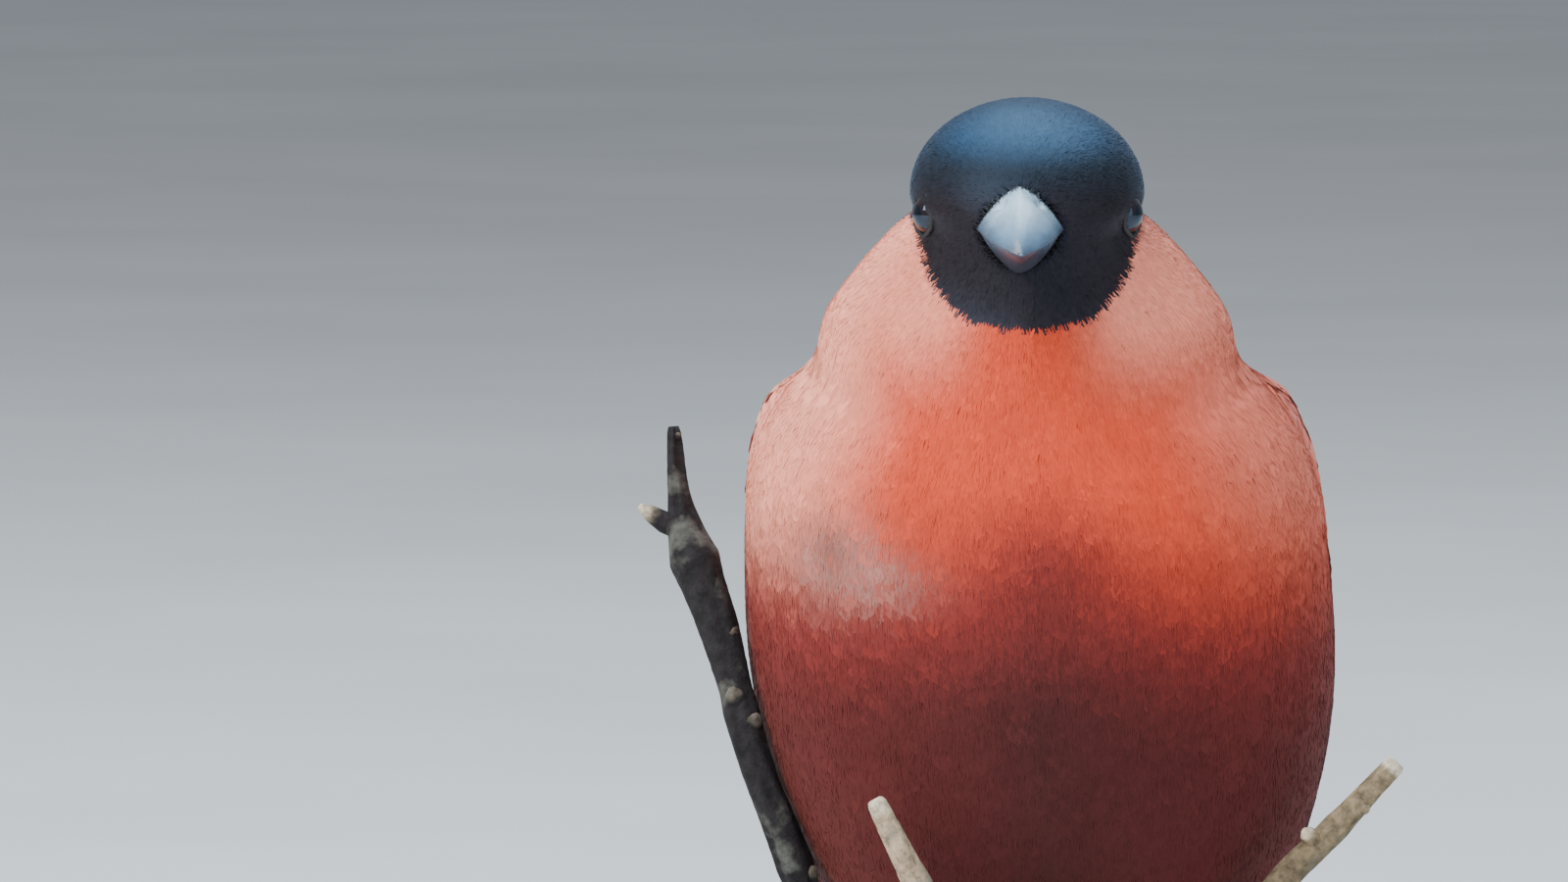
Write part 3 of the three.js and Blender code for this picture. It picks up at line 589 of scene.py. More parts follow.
def sown(per_area, even):
    """Roots on the coat's faces, per_area to each square millimetre of a face. With even they keep
    apart from one another."""
    faces = np.arange(len(coat_faces))
    wanted = coat_area * per_area(faces) * grows(faces)
    count = int(wanted.sum())
    chosen = PICK.choice(faces, count * (TRIES_PER_FEATHER if even else 1), p=wanted / wanted.sum())
    s, t = PICK.random((2, len(chosen), 1))
    corner = coat_corners[chosen]
    low = corner[:, 0] * (1 - s) + corner[:, 1] * s
    points = low * (1 - t) + (corner[:, 3] * (1 - s) + corner[:, 2] * s) * t
    if even:
        tree = KDTree(len(points))
        for i, point in enumerate(points.tolist()):
            tree.insert(point, i)
        tree.balance()
        gap = FEATHERS_APART / np.sqrt(per_area(chosen))
        free = np.ones(len(points), bool)
        kept = []
        for i, point in enumerate(points.tolist()):
            if free[i]:
                kept.append(i)
                for _, other, _ in tree.find_range(point, gap[i]):
                    free[other] = False
        points, chosen = points[kept], chosen[kept]
    return points, chosen


def flat_on(vectors, normals):
    """Directions laid flat on the surface with these normals."""
    return unit(vectors - normals * np.einsum("ij,ij->i", vectors, normals)[:, None])


def lie(points, face):
    """The direction that feathers lie in: away from the bill on the head, down the body's line below
    it, and over the wing's edges where they meet one."""
    depth, angle, normal = coat_depth[face], coat_angle[face], coat_normals[face]
    down_body = unit(body_point(depth + 1, angle) - body_point(np.maximum(depth - 1, 0.05), angle))
    on_head = flat_on(unit(points - BILL_BASE) + (0, 0.25, -0.35), normal)
    share = ease(depth, 12, 24)[:, None]
    way = unit(on_head * (1 - share) + down_body * share)

    round_body = unit(body_point(depth, angle + 0.03) - body_point(depth, angle - 0.03))
    backward = round_body * -np.sign(np.cos(angle))[:, None]
    wide = np.radians(1) * ring_value(depth, SIDE)
    at_wing = ease(depth, 34, 44) * (1 - ease(depth, 84, 96))
    behind = degrees_behind(angle)
    below, above = (
        np.exp(-(((behind - edge(depth)) * wide / 5) ** 2)) * at_wing for edge in (lower_edge, upper_edge)
    )
    way = way + backward * (0.5 * below - 0.45 * above)[:, None]
    for hand in (1, -1):
        top, end = thigh_ends(hand)
        way = np.where((on_thigh[face] == hand)[:, None], unit(end - top), way)
    return flat_on(way, normal)


def laid(points):
    """The coat's nearest points to these, and the faces they are on."""
    found = [coat_tree.find_nearest(point) for point in points.tolist()]
    return np.array([f[0] for f in found]), np.array([f[2] for f in found])


def over_wing(points, face):
    """How far the coat is raised at these points, on its own slope."""
    slope = coat_slopes[face]
    aslant = np.einsum("ij,ij->i", slope, points - coat_centre[face])
    return coat_swell[face].mean(1) - aslant / np.einsum("ij,ij->i", slope, coat_normals[face])


def lay(shape, points, face, length, width, thick, sunk, proud, tip_proud, stray, uneven):
    """Lays one shape on each root along the lie of the coat and returns all that a piece needs."""
    outline, triangles, up, rim = shape
    turn = np.radians(PICK.normal(0, 1, len(points)) * stray)[:, None]
    normal = coat_normals[face]
    way = lie(points, face)
    way = way * np.cos(turn) + np.cross(normal, way) * np.sin(turn)
    middle, middle_face = laid(points + way * length[:, None] * 0.5)
    way = flat_on(middle - points, coat_normals[middle_face])
    tip, tip_face = laid(middle + way * length[:, None] * 0.5)

    root = points + normal * (over_wing(points, face) - sunk)[:, None]
    raised = over_wing(middle, middle_face) + proud - 0.18 * sunk
    middle = middle + coat_normals[middle_face] * raised[:, None]
    tip = tip + coat_normals[tip_face] * (over_wing(tip, tip_face) + tip_proud)[:, None]
    normal, middle_normal, tip_normal = (coat_slopes[k] for k in (face, middle_face, tip_face))
    arched = np.einsum("ij,ij->i", middle - (root + tip) / 2, middle_normal)
    middle = middle + middle_normal * np.maximum(thick - arched, 0)[:, None]

    ragged = np.clip(PICK.normal(0, 0.5, len(points)), -1, 1)
    colour, black = markings_and_painted_light(tip, coat_depth[tip_face], coat_angle[tip_face], ragged)
    limb = on_thigh[face] != 0
    colour[limb] = tint(THIGH_GREY, THIGH_PALE, ease(-tip[limb, 2], -62, -48))
    black = np.where(limb, 0, black)
    colour *= np.exp(PICK.normal(0, 0.06, (len(points), 1)))

    u, w, h = (outline[None, :, k, None] for k in range(3))
    line = root[:, None] * (1 - u) * (1 - 2 * u) + middle[:, None] * 4 * u * (1 - u)
    line = line + tip[:, None] * u * (2 * u - 1)
    across = np.cross(middle_normal, flat_on(tip - root, middle_normal))
    places = line + across[:, None] * w * width[:, None, None] + middle_normal[:, None] * h * thick
    smooth = unit(normal[:, None] * (1 - u) + tip_normal[:, None] * u)
    aside = (PICK.normal(0, 1, len(points)) * uneven * (1 - 0.4 * black))[:, None, None]
    round_over = w * (0.14 - 0.04 * black[:, None, None])

    # Each root's place on an unwrap of the body by depth and angle, with the thighs beside it.
    home = np.stack([0.02 + 0.96 * coat_angle[face] / (2 * np.pi), 0.02 + 0.8 * coat_depth[face] / 114], -1)
    home[limb, 0] = 0.3 + 0.2 * on_thigh[face][limb] + 0.01 * points[limb, 1]
    home[limb, 1] = 0.88 + 0.002 * (CROWN - 84 - points[limb, 2])
    shade = np.interp(outline[:, 0], [0, 0.5, 1], [0.88, 0.98, 1.0])
    return {
        "places": places,
        "normals": unit(smooth + across[:, None] * (aside + round_over)),
        "uv": home[:, None] + np.concatenate([u - 0.5, np.broadcast_to(w, u.shape)], -1) * PATCH,
        "colours": colour[:, None] * shade[None, :, None],
        "triangles": triangles,
        "up": up,
        "rim": rim,
        "black": black,
        "face": face,
    }


def coat_piece(name, laid_out, chosen, material, slot):
    """Makes the chosen ones of laid_out one piece, or as many as its triangles need."""
    triangles = laid_out["triangles"]
    chosen = np.flatnonzero(chosen)
    parts = max(1, math.ceil(len(chosen) / (MOST_TRIANGLES // len(triangles))))
    for number, part in enumerate(np.array_split(chosen, parts)):
        places = laid_out["places"][part]
        count, corners = places.shape[:2]
        faces = (triangles[None] + (np.arange(count) * corners)[:, None, None]).reshape(-1, 3)
        piece = mesh_piece(name if parts == 1 else f"{name}_{number + 1}", places, faces)
        paint(piece, laid_out["colours"][part].reshape(-1, 3))
        uv = laid_out["uv"][part].reshape(-1, 2)[faces.ravel()].astype(np.float32)
        piece.data.uv_layers.new(name="OFBake").data.foreach_set("uv", uv.ravel())
        normals = laid_out["normals"][part].reshape(-1, 3)[faces]
        normals = normals * np.tile(laid_out["up"], count)[:, None, None]
        free = piece.data.attributes.new("custom_normal", "FLOAT_VECTOR", "CORNER")
        free.data.foreach_set("vector", normals.astype(np.float32).ravel())
        ends = np.empty(2 * len(piece.data.edges), np.int32)
        piece.data.edges.foreach_get("vertices", ends)
        ends = np.sort(ends.reshape(-1, 2) % corners, axis=1) @ (100, 1)
        sharp = piece.data.attributes.new("sharp_edge", "BOOLEAN", "EDGE")
        sharp.data.foreach_set("value", np.isin(ends, np.array(laid_out["rim"]) @ (100, 1)))
        fix(piece, material, slot)


def plumage_finish(name, gloss, sheen, tinted=(1, 1, 1)):
    """Feather surface in the colour kept at each point, streaked along its barbs."""
    made = Finish(
        name,
        Roughness=gloss[0],
        Specular_IOR_Level=gloss[1],
        Sheen_Weight=sheen[0],
        Sheen_Roughness=sheen[1],
        Sheen_Tint=(*sheen[2], 1),
        Specular_Tint=(*tinted, 1),
    )
    streaked = made.shaded(
        made.painted(), made.noise(made.place(500, 5000, uv="OFBake"), 1.0, 2.0), (0.3, 0.88), (0.7, 1.0)
    )
    return made.finish(made.shaded(streaked, made.noise(made.place(), 160, 3.0), (0.3, 0.88), (0.7, 1.0)))


hood_plumage = plumage_finish("hood_plumage", (0.5, 0.22), (0.2, 0.3, (0.42, 0.64, 1.0)), (0.34, 0.6, 1.0))
breast_plumage = plumage_finish("breast_plumage", (0.75, 0.14), (0.07, 0.45, (1.0, 0.5, 0.4)))
back_plumage = plumage_finish("back_plumage", (0.72, 0.2), (0.12, 0.45, (0.9, 0.93, 1.0)))


def feathers_per_area(face):
    return (1 / (FEATHER_PITCH * feather_length(face))) ** 2


def barbs_per_area(face):
    return along_table(coat_depth[face], BARBS_PER_AREA) * np.where(on_thigh[face] != 0, THIGH_BARBS, 1)


leaf_points, leaf_face = sown(feathers_per_area, True)
leaf_length = feather_length(leaf_face) * PICK.uniform(0.85, 1.15, len(leaf_face))
leaf_sunk = FEATHER_SUNK * along_table(coat_depth[leaf_face], COAT_DEPTH)
leaf_proud = PICK.uniform(-0.05, 0, len(leaf_face))
leaves = lay(
    LEAF, leaf_points, leaf_face, leaf_length, FEATHER_WIDTH * leaf_length, thick=0.06,
    sunk=leaf_sunk, proud=leaf_proud, tip_proud=0, stray=6, uneven=0.03,
)
barb_points, barb_face = sown(barbs_per_area, False)
barb_length = feather_length(barb_face) * PICK.uniform(0.55, 0.95, len(barb_face))
barb_sunk = BARB_SUNK * along_table(coat_depth[barb_face], COAT_DEPTH)
barb_proud = np.abs(PICK.normal(0, 1, len(barb_face))) * 0.025 + 0.01
barb_width = along_table(coat_depth[barb_face], BARB_WIDTH)
barbs = lay(
    BARB, barb_points, barb_face, barb_length, barb_width, thick=0.03, sunk=barb_sunk,
    proud=barb_proud, tip_proud=-0.05, stray=5, uneven=0.07,
)
for kind, many in (("feathers", leaves), ("barbs", barbs)):
    depth, limb = coat_depth[many["face"]], on_thigh[many["face"]] != 0
    hood = (many["black"] > 0.5) & ~limb
    red = (np.sin(coat_angle[many["face"]]) > np.where(depth < 36, -0.3, -0.5)) & (depth < 86)
    coat_piece("hood_" + kind, many, hood, hood_plumage, "black_plumage")
    coat_piece("breast_" + kind, many, red & ~hood & ~limb, breast_plumage, "red_plumage")
    coat_piece("back_" + kind, many, ~red & ~hood & ~limb, back_plumage, "flank_plumage")
    coat_piece("thigh_" + kind, many, limb, back_plumage, "flank_plumage")

# The wings are folded against the flanks. Each is a bed of quills and down, laid with tiers of stiff
# feathers that overlap from the back downward: primaries, secondaries, three broad tertials, and above
# them the coverts, the greater ones with a broad pale grey end that makes the wing bar.
WING_DOWN, QUILL_BLACK = (0.016, 0.017, 0.022), (0.009, 0.010, 0.016)
BAR_GREY, EDGE_GREY, TERTIAL_RED = (0.46, 0.46, 0.47), (0.12, 0.13, 0.15), (0.20, 0.030, 0.026)
VANE_ALONG = np.array([0, 0.1, 0.24, 0.4, 0.56, 0.7, 0.81, 0.89, 0.95, 0.985, 1.0])
VANE_ROUND = np.array([0.42, 0.62, 0.82, 0.93, 0.98, 1.0, 0.97, 0.86, 0.66, 0.42, 0.12])
VANE_ACROSS = np.array([-1, -0.62, -0.28, -0.07, 0, 0.07, 0.3, 0.66, 1.0])
VANE_RIDGE = np.array([0, 0.04, 0.07, 0.08, 0.22, 0.08, 0.07, 0.04, 0])
BED_ROWS, BED_COLUMNS = 26, 14

# Each row of feathers: its kind, how many, and the first and the last one's root and tip, as depth and
# degrees behind the side, half width, and height above the body at root and tip.
WING_ROWS = (
    ("primary", 8, (76, 38, 101, 56, 2.7, 0.5, 0.8), (70, 25, 114, 44, 2.3, 0.3, -1.2)),
    ("secondary", 6, (66, 58, 94, 61, 3.2, 0.9, 1.3), (66, 32, 97, 45, 3.0, 0.7, 0.7)),
    ("tertial", 3, (60, 64, 80, 64, 4.3, 1.0, 1.6), (62, 52, 91, 57, 4.3, 1.0, 1.6)),
    ("primary_covert", 5, (56, 27, 76, 34, 2.1, 0.6, 1.0), (48, 22, 67, 27, 1.9, 0.6, 0.7)),
    ("greater", 9, (49, 67, 65, 68, 3.3, 1.1, 2.1), (51, 28, 68, 31, 2.9, 0.8, 1.4)),
    ("median", 8, (41, 57, 54, 63, 3.2, 0.8, 1.8), (41, 28, 55, 28, 2.8, 0.6, 1.4)),
    ("lesser", 9, (39, 52, 48, 59, 2.6, 0.5, 1.5), (38, 27, 48, 28, 2.3, 0.4, 1.3)),
)
FEATHER_STRAY = (0.25, 0.4, 0.3, 0.4, 0.05, 0.04)


def wing_spread(depth):
    """How far the folded wing's end stands off the narrowing body."""
    return 5 * ease(depth, 80, 118)


def wing_point(hand, depth, behind, lift):
    """A point of the folded wing, some degrees behind the body's side. hand is 1 on the bird's left."""
    depth, behind, lift = np.broadcast_arrays(depth, behind, lift)
    middle, front = ring_frame(depth)
    spread = wing_spread(depth) + lift
    across = (ring_value(depth, SIDE) + spread) * np.cos(np.radians(behind))
    back = (ring_value(depth, REAR) + spread) * np.sin(np.radians(behind))
    point = middle - front * back[..., None]
    point[..., 0] += hand * across
    return point


def plate(top, under):
    """A thin closed plate between two grids of points, its four-cornered faces looking outward."""
    rows, columns = top.shape[:2]
    i, j = np.meshgrid(np.arange(rows - 1), np.arange(columns - 1), indexing="ij")
    a = (i * columns + j).ravel()
    upper = np.stack([a, a + 1, a + columns + 1, a + columns], -1)
    grid = np.arange(rows * columns).reshape(rows, columns)
    rim = np.concatenate([grid[0, :-1], grid[:-1, -1], grid[-1, :0:-1], grid[:0:-1, 0]])
    below = rows * columns
    edge = np.stack([np.roll(rim, -1), rim, rim + below, np.roll(rim, -1) + below], -1)
    faces = np.concatenate([upper, upper[:, ::-1] + below, edge])
    return turned_out(np.concatenate([top.reshape(-1, 3), under.reshape(-1, 3)]), faces)


def turned_out(points, faces):
    """The faces of a closed form in four-cornered faces, turned so that they look outward."""
    triangles = np.concatenate([faces[:, [0, 1, 2]], faces[:, [0, 2, 3]]])
    return points, faces if outward(points, triangles)[1] is triangles else faces[:, ::-1]


def vane_colours(kind, share=0.0):
    """Colours over a feather: share runs from the first of its row to the last."""
    along, across = (a.ravel() for a in np.meshgrid(VANE_ALONG, VANE_ACROSS, indexing="ij"))
    if kind == "greater":
        return tint(QUILL_BLACK, BAR_GREY, ease(along + 0.05 * np.abs(across), 0.52, 0.62))
    if kind in ("median", "lesser"):
        return tint(QUILL_BLACK, BACK_GREY, ease(along, -0.5, 0.1))
    if kind == "primary":
        return tint(QUILL_BLACK, EDGE_GREY, ease(-across, 0.8, 1.0) * ease(along, 0.2, 0.5) * 0.6)
    if kind == "tertial" and share == 0:
        return tint(QUILL_BLACK, TERTIAL_RED, ease(-across, 0.3, 0.65) * ease(along, 0.2, 0.4))
    return tint(QUILL_BLACK, QUILL_BLACK, 0 * along)


def vane(place_at, half_width, colours, thick=0.3):
    """A feather whose points are place_at(along, across in half widths, height), with its UVs."""
    along, across = np.meshgrid(VANE_ALONG, VANE_ACROSS, indexing="ij")
    wide = across * VANE_ROUND[:, None]
    half_thick = thick / 2 * (1 - 0.6 * np.abs(across))
    ridge = np.tile(VANE_RIDGE, (len(VANE_ALONG), 1)) * (1 - 0.7 * along)
    points, faces = plate(place_at(along, wide, ridge + half_thick), place_at(along, wide, -half_thick))
    uv = np.stack([along.ravel(), (wide * half_width / 10).ravel()], -1)
    return points, faces, np.concatenate([colours, colours * 0.8]), np.concatenate([uv, uv])


def vane_piece(name, vanes, material, slot, node):
    """Joins feathers into one piece that stands for this CAD node."""
    points, faces = joined([v[:2] for v in vanes])
    piece = mesh_piece(name, points, faces)
    paint(piece, np.concatenate([v[2] for v in vanes]))
    uv = np.concatenate([v[3] for v in vanes])[faces.ravel()].astype(np.float32)
    piece.data.uv_layers.new(name="vane").data.foreach_set("uv", uv.ravel())
    fix(piece, material, slot, node)


def quill_finish(name, tinted):
    """A stiff feather: barbs run out from the shaft at a slant, glossy over the colour at each point."""
    made = Finish(
        name,
        Roughness=0.36,
        Specular_IOR_Level=0.6,
        Specular_Tint=(*tinted, 1),
        Sheen_Weight=0.1,
        Sheen_Roughness=0.3,
        Sheen_Tint=(0.5, 0.55, 1.0, 1),
    )
    uv = made.node("SeparateXYZ", Vector=made.node("UVMap", {"uv_map": "vane"}).outputs["UV"])
    aside = made.node("Math", {"operation": "ABSOLUTE"}, Value=uv.outputs["Y"])
    slant = made.node("Math", {"operation": "MULTIPLY_ADD"}, Value=aside.outputs[0])
    slant.inputs[1].default_value = -0.9
    made.feed(slant.inputs[2], uv.outputs["X"])
    rows = made.node("CombineXYZ", X=slant.outputs[0], Y=uv.outputs["Y"]).outputs["Vector"]
    rows = made.node("Mapping", Vector=rows, Scale=(190, 8, 1)).outputs["Vector"]
    barbs = made.noise(rows, 1.0, 2.0)
    tone = made.shaded(made.painted(), barbs, (0.3, 0.72), (0.7, 1.0))
    rough = made.ramp(made.noise(made.place(), 220, 3.0), (0.3, 0.28), (0.7, 0.46))
    return made.finish(tone, rough, [(barbs, 0.00004)])


quill = quill_finish("quill", (0.68, 0.72, 1.0))
bed_steps = np.linspace(0, 1, BED_ROWS), np.linspace(0, 1, BED_COLUMNS)
bed_along, bed_across = np.meshgrid(*bed_steps, indexing="ij")
bed_depth = WING_FRONT + (WING_REAR - WING_FRONT) * bed_along
bed_behind = lower_edge(bed_depth) + (upper_edge(bed_depth) - lower_edge(bed_depth)) * bed_across
bed_top = 0.5 * (0.35 + 0.65 * np.sin(np.pi * bed_across) ** 0.5)
bed_under = -1.7 * (1 - 0.65 * ease(bed_depth, 60, 100))
bed_uv = np.stack([bed_along.ravel(), bed_across.ravel()], -1)
bed_colours = tint(WING_DOWN, WING_DOWN, np.zeros(2 * bed_along.size))
for hand, side in ((1, "left"), (-1, "right")):
    bed = plate(*(wing_point(hand, bed_depth, bed_behind, lift) for lift in (bed_top, bed_under)))
    feathers = [(*bed, bed_colours, np.concatenate([bed_uv, bed_uv]))]
    for kind, count, first, last in WING_ROWS:
        for k in range(count):
            share = k / (count - 1)
            values = np.array(first) * (1 - share) + np.array(last) * share
            values[:6] += PICK.normal(0, 1, 6) * FEATHER_STRAY
            root, root_behind, tip, tip_behind, half_width, lift, tip_lift = values

            def on_wing(along, across, height):
                depth = root + (tip - root) * along
                degrees = np.degrees(half_width / (ring_value(depth, SIDE) + wing_spread(depth)))
                bow = 1.5 * np.sin(np.pi * along)
                behind = root_behind + (tip_behind - root_behind) * along + bow + across * degrees
                raised = lift + (tip_lift - lift) * along - across * 0.24 + height
                return wing_point(hand, depth, behind, raised)

            feathers.append(vane(on_wing, half_width, vane_colours(kind, share)))
    vane_piece(f"wing_feathers_{side}", feathers, quill, "wing_plumage", f"wing_{side}")

# The tail is twelve stiff, glossy black feathers, folded into a slight fan with a shallow notch. The
# middle pair lies on top, and coverts from the rump and the vent hide their roots.
TAIL_ROOT, TAIL_TIP, TAIL_NOTCH, TAIL_PAIRS, TAIL_HALF_WIDTH = 95.0, 131.0, 1.6, 6, 3.2

rectrices = []
for k in range(TAIL_PAIRS):
    for hand in (1, -1):
        spread = k / (TAIL_PAIRS - 1)
        tail_end = TAIL_TIP + TAIL_NOTCH * spread

        def on_tail(along, across, height):
            depth = TAIL_ROOT + (tail_end - TAIL_ROOT) * along
            middle, front = ring_frame(depth)
            x = 0.6 + 2.2 * spread + (1.1 + 6.4 * spread) * along + across * TAIL_HALF_WIDTH
            lift = 0.9 - 0.9 * spread + (0.4 - 2.3 * spread) * along + across * 0.3 - (hand < 0) * 0.3
            point = middle - front * (lift + height)[..., None]
            point[..., 0] += hand * x
            return point

        rectrices.append(vane(on_tail, TAIL_HALF_WIDTH, vane_colours("tail"), 0.34))
vane_piece("tail_feathers", rectrices, quill_finish("tail_quill", (0.62, 0.68, 1.0)), "tail_plumage", "tail")

# The bill is short, deep and round-backed, of two horny halves that meet along a line bent down to the
# tip. The horn is polished, with fine growth lines along it. Its blue grey, palest on the ridge, is a
# painted reflection of the sky, and its lower half is painted dark as painted shade.
BILL_FORWARD, BILL_LENGTH, BILL_DROOP = 16.5, 10.6, 2.2
MOUTH_GAP = 0.3
NOSTRIL_SIDE, NOSTRIL_FORWARD, NOSTRIL_RISE, NOSTRIL_RADIUS = 2.1, 3.2, 2.9, 0.62
HORN_RINGS, HORN_COLUMNS = (34, 6), 41
# The pale and blue tones are painted reflection of the sky; the dark is the horn's own black, also used as
# painted shade.
HORN_REFLECTION_PALE, HORN_REFLECTION_BLUE, HORN_DARK = (0.38, 0.52, 0.65), (0.115, 0.21, 0.33), (0.035, 0.045, 0.062)

# Each half of the bill: its length, half width and height, and 1 above the mouth or -1 below it.
BILL_HALVES = (("upper", BILL_LENGTH, 4.4, 4.1, 1), ("lower", BILL_LENGTH - 1, 4.1, 4.2, -1))


def mandible(name, length, half_width, height, sign):
    """One half of the bill: sign is 1 for the upper and -1 for the lower."""
    t = np.concatenate([np.linspace(-0.12, 0.9, HORN_RINGS[0]), np.linspace(0.925, 1, HORN_RINGS[1])])
    t = t[:, None]
    s = np.linspace(1, -1, HORN_COLUMNS)[None]
    ahead = np.clip(t, 0, 1)
    narrow = np.maximum(0.06, (1 - ahead**2.2) ** 0.75)
    shallow = np.maximum(0.07, (1 - ahead**1.9) ** 0.8)
    rise = height * shallow * (1 - np.abs(s) ** 1.7)
    rise += 0.1 * sign * np.exp(-((s / 0.09) ** 2)) * (1 - ahead) * (sign > 0)
    mouth = BILL_DEPTH + BILL_DROOP * (ahead * length / BILL_LENGTH) ** 2
    lip = 0.12 * (1 - np.abs(s)) ** 0.3 * narrow * 0.3
    forward = BILL_FORWARD + length * t + 0 * s
    arch = [BILL_X + half_width * narrow * s, -forward, CROWN - (mouth - sign * (rise + MOUTH_GAP / 2))]
    flat = [BILL_X - half_width * narrow * s, -forward, CROWN - (mouth - sign * (lip + MOUTH_GAP / 2))]
    ring = np.concatenate([np.stack(arch, -1), np.stack(flat, -1)[:, 1:-1]], 1)
    if sign > 0:
        for side in (1, -1):
            x = BILL_X + side * NOSTRIL_SIDE
            pit = place(x, BILL_FORWARD + NOSTRIL_FORWARD, BILL_DEPTH - NOSTRIL_RISE)
            near = np.exp(-((np.linalg.norm((ring - pit) * (1, 0.7, 1), axis=-1) / NOSTRIL_RADIUS) ** 4))
            ring = ring - near[..., None] * np.array([side * 0.35, -0.1, 0.45])
    piece = mesh_piece(name, *closed_tube(ring))
    drop = CROWN - np.append(ring[..., 2].ravel(), [CROWN - BILL_DEPTH] * 2)
    edges = ease(np.abs(np.concatenate([s, s[:, 1:-1]], 1)) + 0 * t, 0.7, 1.0) * (1 - 0.5 * ahead)
    # Painted shade: dark below the mouth line, and darker toward the sides. Above it the painted reflection
    # runs from pale on the ridge to blue.
    dark = np.maximum(0.95 * ease(drop, 12.4, 14.6), 0.8 * np.append(edges.ravel(), [0, 0]))
    paint(piece, tint(tint(HORN_REFLECTION_PALE, HORN_REFLECTION_BLUE, ease(drop, 9.6, 12.8)), HORN_DARK, dark))
    return piece


horn = Finish("bill_horn", Roughness=0.3, Specular_IOR_Level=0.45, Coat_Weight=0.12, Coat_Roughness=0.15)
horn_lines = horn.noise(horn.place(3200, 240, 3200), 1.0, 3.0)
horn_clouds = horn.noise(horn.place(), 420, 3.0)
horn_tone = horn.shaded(horn.painted(), horn_lines, (0.3, 0.86), (0.7, 1.0))
horn_tone = horn.shaded(horn_tone, horn_clouds, (0.35, 0.8), (0.65, 1.0))
horn_rough = horn.ramp(horn_clouds, (0.3, 0.22), (0.7, 0.4))
horn_material = horn.finish(horn_tone, horn_rough, [(horn_lines, 0.00002)])
for half, *sizes in BILL_HALVES:
    fix(mandible(f"bill_{half}_horn", *sizes), horn_material, "bill_horn", f"bill_{half}")

# Stiff black bristles fringe the bill's base and lie forward over the nostrils. Each is a thin horny
# cone that grows from the skin at the horn's rim.
BRISTLES_ROUND, BRISTLE_LENGTH, BRISTLE_THICK, BRISTLE_SEED = 220, 2.4, 0.08, 5
BRISTLE_BLACK, BRISTLE_GREY = (0.008, 0.009, 0.012), (0.024, 0.024, 0.024)
RIM_WIDE, RIM_TALL, RIM_FORWARD = 4.4, 4.0, 17.2


def cone_bristles(name, roots, ways, material):
    """Bristles made by Geometry Nodes: one thin cone on each root, along its way."""
    host = mesh_piece(name, roots, np.zeros((0, 3), int))
    lean = host.data.attributes.new("lean", "FLOAT_VECTOR", "POINT")
    lean.data.foreach_set("vector", np.asarray(ways, np.float32).ravel())
    tree = bpy.data.node_groups.new(name, "GeometryNodeTree")
    tree.interface.new_socket("Roots", in_out="INPUT", socket_type="NodeSocketGeometry")
    for label in ("Length", "Thickness"):
        tree.interface.new_socket(label, in_out="INPUT", socket_type="NodeSocketFloat")
    tree.interface.new_socket("Bristles", in_out="OUTPUT", socket_type="NodeSocketGeometry")
    add = tree.nodes.new
    ends = add("NodeGroupInput"), add("NodeGroupOutput")
    cone, points = add("GeometryNodeMeshCone"), add("GeometryNodeInstanceOnPoints")
    cone.inputs["Vertices"].default_value = 5
    cone.inputs["Side Segments"].default_value = 2
    attribute, turn = add("GeometryNodeInputNamedAttribute"), add("FunctionNodeAlignRotationToVector")
    attribute.data_type = "FLOAT_VECTOR"
    attribute.inputs["Name"].default_value = "lean"
    turn.axis = "Z"
    vary, real = add("FunctionNodeRandomValue"), add("GeometryNodeRealizeInstances")
    vary.data_type = "FLOAT"
    vary.inputs[2].default_value = 0.65
    vary.inputs[3].default_value = 1.15
    vary.inputs["Seed"].default_value = BRISTLE_SEED
    dress = add("GeometryNodeSetMaterial")
    dress.inputs["Material"].default_value = material
    for source, target in (
        (ends[0].outputs["Roots"], points.inputs["Points"]),
        (ends[0].outputs["Length"], cone.inputs["Depth"]),
        (ends[0].outputs["Thickness"], cone.inputs["Radius Bottom"]),
        (cone.outputs["Mesh"], points.inputs["Instance"]),
        (attribute.outputs["Attribute"], turn.inputs["Vector"]),
        (turn.outputs["Rotation"], points.inputs["Rotation"]),
        (vary.outputs[1], points.inputs["Scale"]),
        (points.outputs["Instances"], real.inputs["Geometry"]),
        (real.outputs["Geometry"], dress.inputs["Geometry"]),
        (dress.outputs["Geometry"], ends[1].inputs["Bristles"]),
    ):
        tree.links.new(source, target)
    modifier = host.modifiers.new(name, "NODES")
    modifier.node_group = tree
    sockets = {item.name: item.identifier for item in tree.interface.items_tree}
    modifier[sockets["Length"]] = BRISTLE_LENGTH / 1000
    modifier[sockets["Thickness"]] = BRISTLE_THICK / 1000
    return plain_mesh(host)


bristle = Finish("bristle", Roughness=0.45, Specular_IOR_Level=0.5, Specular_Tint=(0.7, 0.8, 1.0, 1))
bristle_grain = bristle.noise(bristle.place(), 900)
bristle_material = bristle.finish(bristle.ramp(bristle_grain, (0.3, BRISTLE_BLACK), (0.7, BRISTLE_GREY)))
around = np.linspace(0, 2 * np.pi, BRISTLES_ROUND, endpoint=False) + PICK.normal(0, 0.03, BRISTLES_ROUND)
reach = PICK.uniform(1.0, 1.12, BRISTLES_ROUND)
rim_x = RIM_WIDE * np.sign(np.cos(around)) * np.abs(np.cos(around)) ** 1.25 * reach
rim_z = RIM_TALL * np.sign(np.sin(around)) * np.abs(np.sin(around)) ** 1.25 * reach
bristle_roots = np.stack([BILL_X + rim_x, 0.05 * rim_x**2 - RIM_FORWARD, CROWN - BILL_DEPTH + rim_z], -1)
bristle_ways = np.stack([-0.3 * rim_x / RIM_WIDE, 0 * rim_x - 1, -0.2 * rim_z / RIM_TALL - 0.05], -1)
